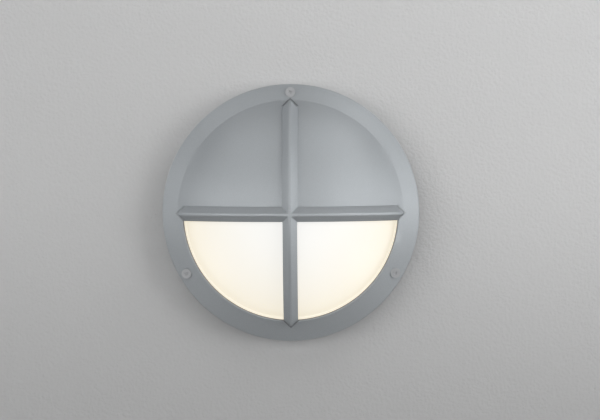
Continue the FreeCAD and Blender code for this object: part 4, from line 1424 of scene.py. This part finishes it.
@dataclass
class Studio:
    """The wall behind the light, the floor, the lamps and the camera."""

    wall_color: Color = (0.678, 0.678, 0.678)
    # painted shade of the wall towards the bottom and the left
    wall_low_painted_shade: Color = (0.475, 0.475, 0.475)
    wall_left_painted_shade: Color = (0.604, 0.604, 0.604)
    wall_left_x: Span = (0.42, -0.40)
    wall_low_z: Span = (0.06, -0.30)
    wall_place: Point = (0.0, 0.0006, 0.0)
    wall_size: float = 3.2
    floor_color: Color = (0.60, 0.60, 0.60)
    floor_seen: Color = (0.46, 0.46, 0.46)
    floor_gloss: Span = (0.75, 0.85)
    floor_place: Point = (0.0, 0.0, -2.0)
    floor_size: float = 8.0
    world_color: Color = (0.78, 0.80, 0.83)
    world_strength: float = 0.015
    world_seen: float = 0.62
    photo_width: float = 600.0
    pixels_per_mm: float = 0.952
    sensor_width: float = 36.0
    clip_end: float = 50.0
    camera_distance: float = 2.3
    camera_turn: float = 0.8
    camera_rise: float = 1.9
    camera_roll: float = 0.22
    aim_mm: Point = (9.66, -30.0, 2.84)
    lamp_target: Point = (0.0, -0.04, 0.0)
    lamps: tuple[StudioLamp, ...] = (
        StudioLamp("low_left", -75.0, -35.0, 3.75),
        StudioLamp("low_right", 75.0, -35.0, 4.8),
        StudioLamp("high_front", -15.0, 45.0, 1.85),
        StudioLamp("side_left", -75.0, 5.0, 5.9),
        StudioLamp("half_left", -45.0, 5.0, 10.8),
        StudioLamp("front_left", -15.0, 5.0, 9.9),
        StudioLamp("front_right", 15.0, 5.0, 6.7),
        StudioLamp("half_right", 45.0, 5.0, 16.7),
        StudioLamp("side_right", 75.0, 5.0, 11.2),
        StudioLamp("high_left", -45.0, 45.0, 1.55, 0.7, 1.2),
        StudioLamp("high_middle", 0.0, 60.0, 0.4, 0.7, 1.2),
        StudioLamp("high_right", 45.0, 45.0, 2.6, 0.7, 1.2),
        StudioLamp("back_left", -145.0, 15.0, 12.0),
        StudioLamp("back_right", 145.0, 25.0, 12.0),
        StudioLamp("back_middle", 180.0, 8.0, 20.0, 2.4),
    )

    def build(self) -> None:
        """Builds the studio."""
        upright = Matrix.Translation(self.wall_place) @ Matrix.Rotation(math.pi / 2, 4, "X")
        wall = self._sheet("studio_wall", self.wall_size, upright, self._wall_material())
        wall.visible_shadow = False
        wall.visible_diffuse = False
        wall.visible_glossy = False
        floor = self._sheet("studio_floor", self.floor_size, Matrix.Translation(self.floor_place),
                            self._floor_material())
        self._world()
        for lamp in self.lamps:
            lamp.hang(self.lamp_target)
        self._camera()

    def _sheet(self, name: str, size: float, place: Matrix, material: bpy.types.Material) -> bpy.types.Object:
        """Adds a square sheet.

        Args:
            name: Its name.
            size: Its side in metres.
            place: Where it stands.
            material: Its material.

        Returns:
            The sheet.
        """
        half = size / 2
        mesh = bpy.data.meshes.new(name)
        mesh.from_pydata([place @ Vector((x * half, y * half, 0)) for x, y in SQUARE], [], [(0, 1, 2, 3)])
        mesh.materials.append(material)
        return add_object(mesh, name)

    def _wall_material(self) -> bpy.types.Material:
        """Makes the wall's plaster, with painted shade darker towards the bottom and the left, which is clear
        from behind.

        Returns:
            The material.
        """
        canvas = Canvas("studio_plaster")
        place = canvas.coords()
        grain = canvas.effect(Effect.GRAIN, place, Fine_Scale=300.0, Broad_Scale=70.0)
        # painted shade: the wall grows darker towards the left and the bottom
        left = canvas.span(canvas.part_of(place, "X"), self.wall_left_x, soft=True)
        low = canvas.span(canvas.part_of(place, "Z"), self.wall_low_z, soft=True)
        color = canvas.mix(left, self.wall_color, self.wall_left_painted_shade)
        color = canvas.mix(low, color, self.wall_low_painted_shade)
        canvas.relief(grain["Height"], strength=0.9, depth_mm=1.0)
        canvas.set(Base_Color=color, Roughness=0.9, Specular_IOR_Level=0.2)
        side = canvas.node("ShaderNodeNewGeometry").outputs["Backfacing"]
        clear = canvas.node("ShaderNodeBsdfTransparent").outputs["BSDF"]
        seen = canvas.node("ShaderNodeMixShader", {"Fac": side, 1: canvas.shader.outputs["BSDF"], 2: clear})
        canvas.put(canvas.output.inputs["Surface"], seen.outputs["Shader"])
        return canvas.material

    def _floor_material(self) -> bpy.types.Material:
        """Makes the plain pale floor.

        Returns:
            The material.
        """
        canvas = Canvas("studio_floor")
        grain = canvas.effect(Effect.GRAIN, canvas.coords(), Fine_Scale=120.0, Broad_Scale=3.0)
        ray = canvas.node("ShaderNodeLightPath").outputs["Is Camera Ray"]
        canvas.set(Base_Color=self.floor_color,
                   Roughness=canvas.span(grain["Broad"], NOISE, self.floor_gloss),
                   Emission_Color=canvas.mix(ray, BLACK, self.floor_seen), Emission_Strength=1.0)
        return canvas.material

    def _world(self) -> None:
        """Sets a dim surrounding light that is pale to look at, also where the light's back mirrors it."""
        world = bpy.data.worlds.new("studio")
        bpy.context.scene.world = world
        world.use_nodes = True
        bench = Bench(world.node_tree)
        ray = bench.node("ShaderNodeLightPath").outputs
        way = bench.node("ShaderNodeTexCoord").outputs["Generated"]
        behind = bench.calc("GREATER_THAN", bench.part_of(way, "Y"), 0.0)
        seen = bench.calc("MAXIMUM", ray["Is Camera Ray"], bench.times(behind, ray["Is Glossy Ray"]))
        sky = world.node_tree.nodes["Background"].inputs
        bench.put(sky["Color"], self.world_color)
        bench.put(sky["Strength"], bench.span(seen, FULL, (self.world_strength, self.world_seen)))

    def _camera(self) -> None:
        """Sets up the camera."""
        data = bpy.data.cameras.new("camera")
        data.sensor_fit = "HORIZONTAL"
        data.sensor_width = self.sensor_width
        data.lens = self.sensor_width * self.camera_distance / (self.photo_width / self.pixels_per_mm * MM)
        data.clip_end = self.clip_end
        back = direction(self.camera_turn, self.camera_rise)
        place = Vector(self.aim_mm) * MM + back * self.camera_distance
        look = (-back).to_track_quat("-Z", "Y").to_matrix().to_4x4()
        roll = Matrix.Rotation(-math.radians(self.camera_roll), 4, "Z")
        camera = add_object(data, "camera")
        camera.matrix_world = Matrix.Translation(place) @ look @ roll
        bpy.context.scene.camera = camera
        bpy.context.scene.view_settings.view_transform = "Standard"


def main() -> None:
    """Builds the light and its studio in order."""
    logging.basicConfig(level=logging.INFO, format="%(name)s: %(message)s")
    for obj in list(bpy.data.objects):
        bpy.data.objects.remove(obj)
    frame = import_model()
    shop = Workshop(frame["nodes"])
    setter = ScrewSetter(shop)
    for assembly in (WallPan(shop, setter), LampHolder(shop, setter), Lamp(shop), Terminals(shop, setter),
                     Wiring(shop), FrontCover(shop, setter)):
        LOG.info("building %s", type(assembly).__name__)
        assembly.build()
    Studio().build()


if __name__ == "__main__":
    main()
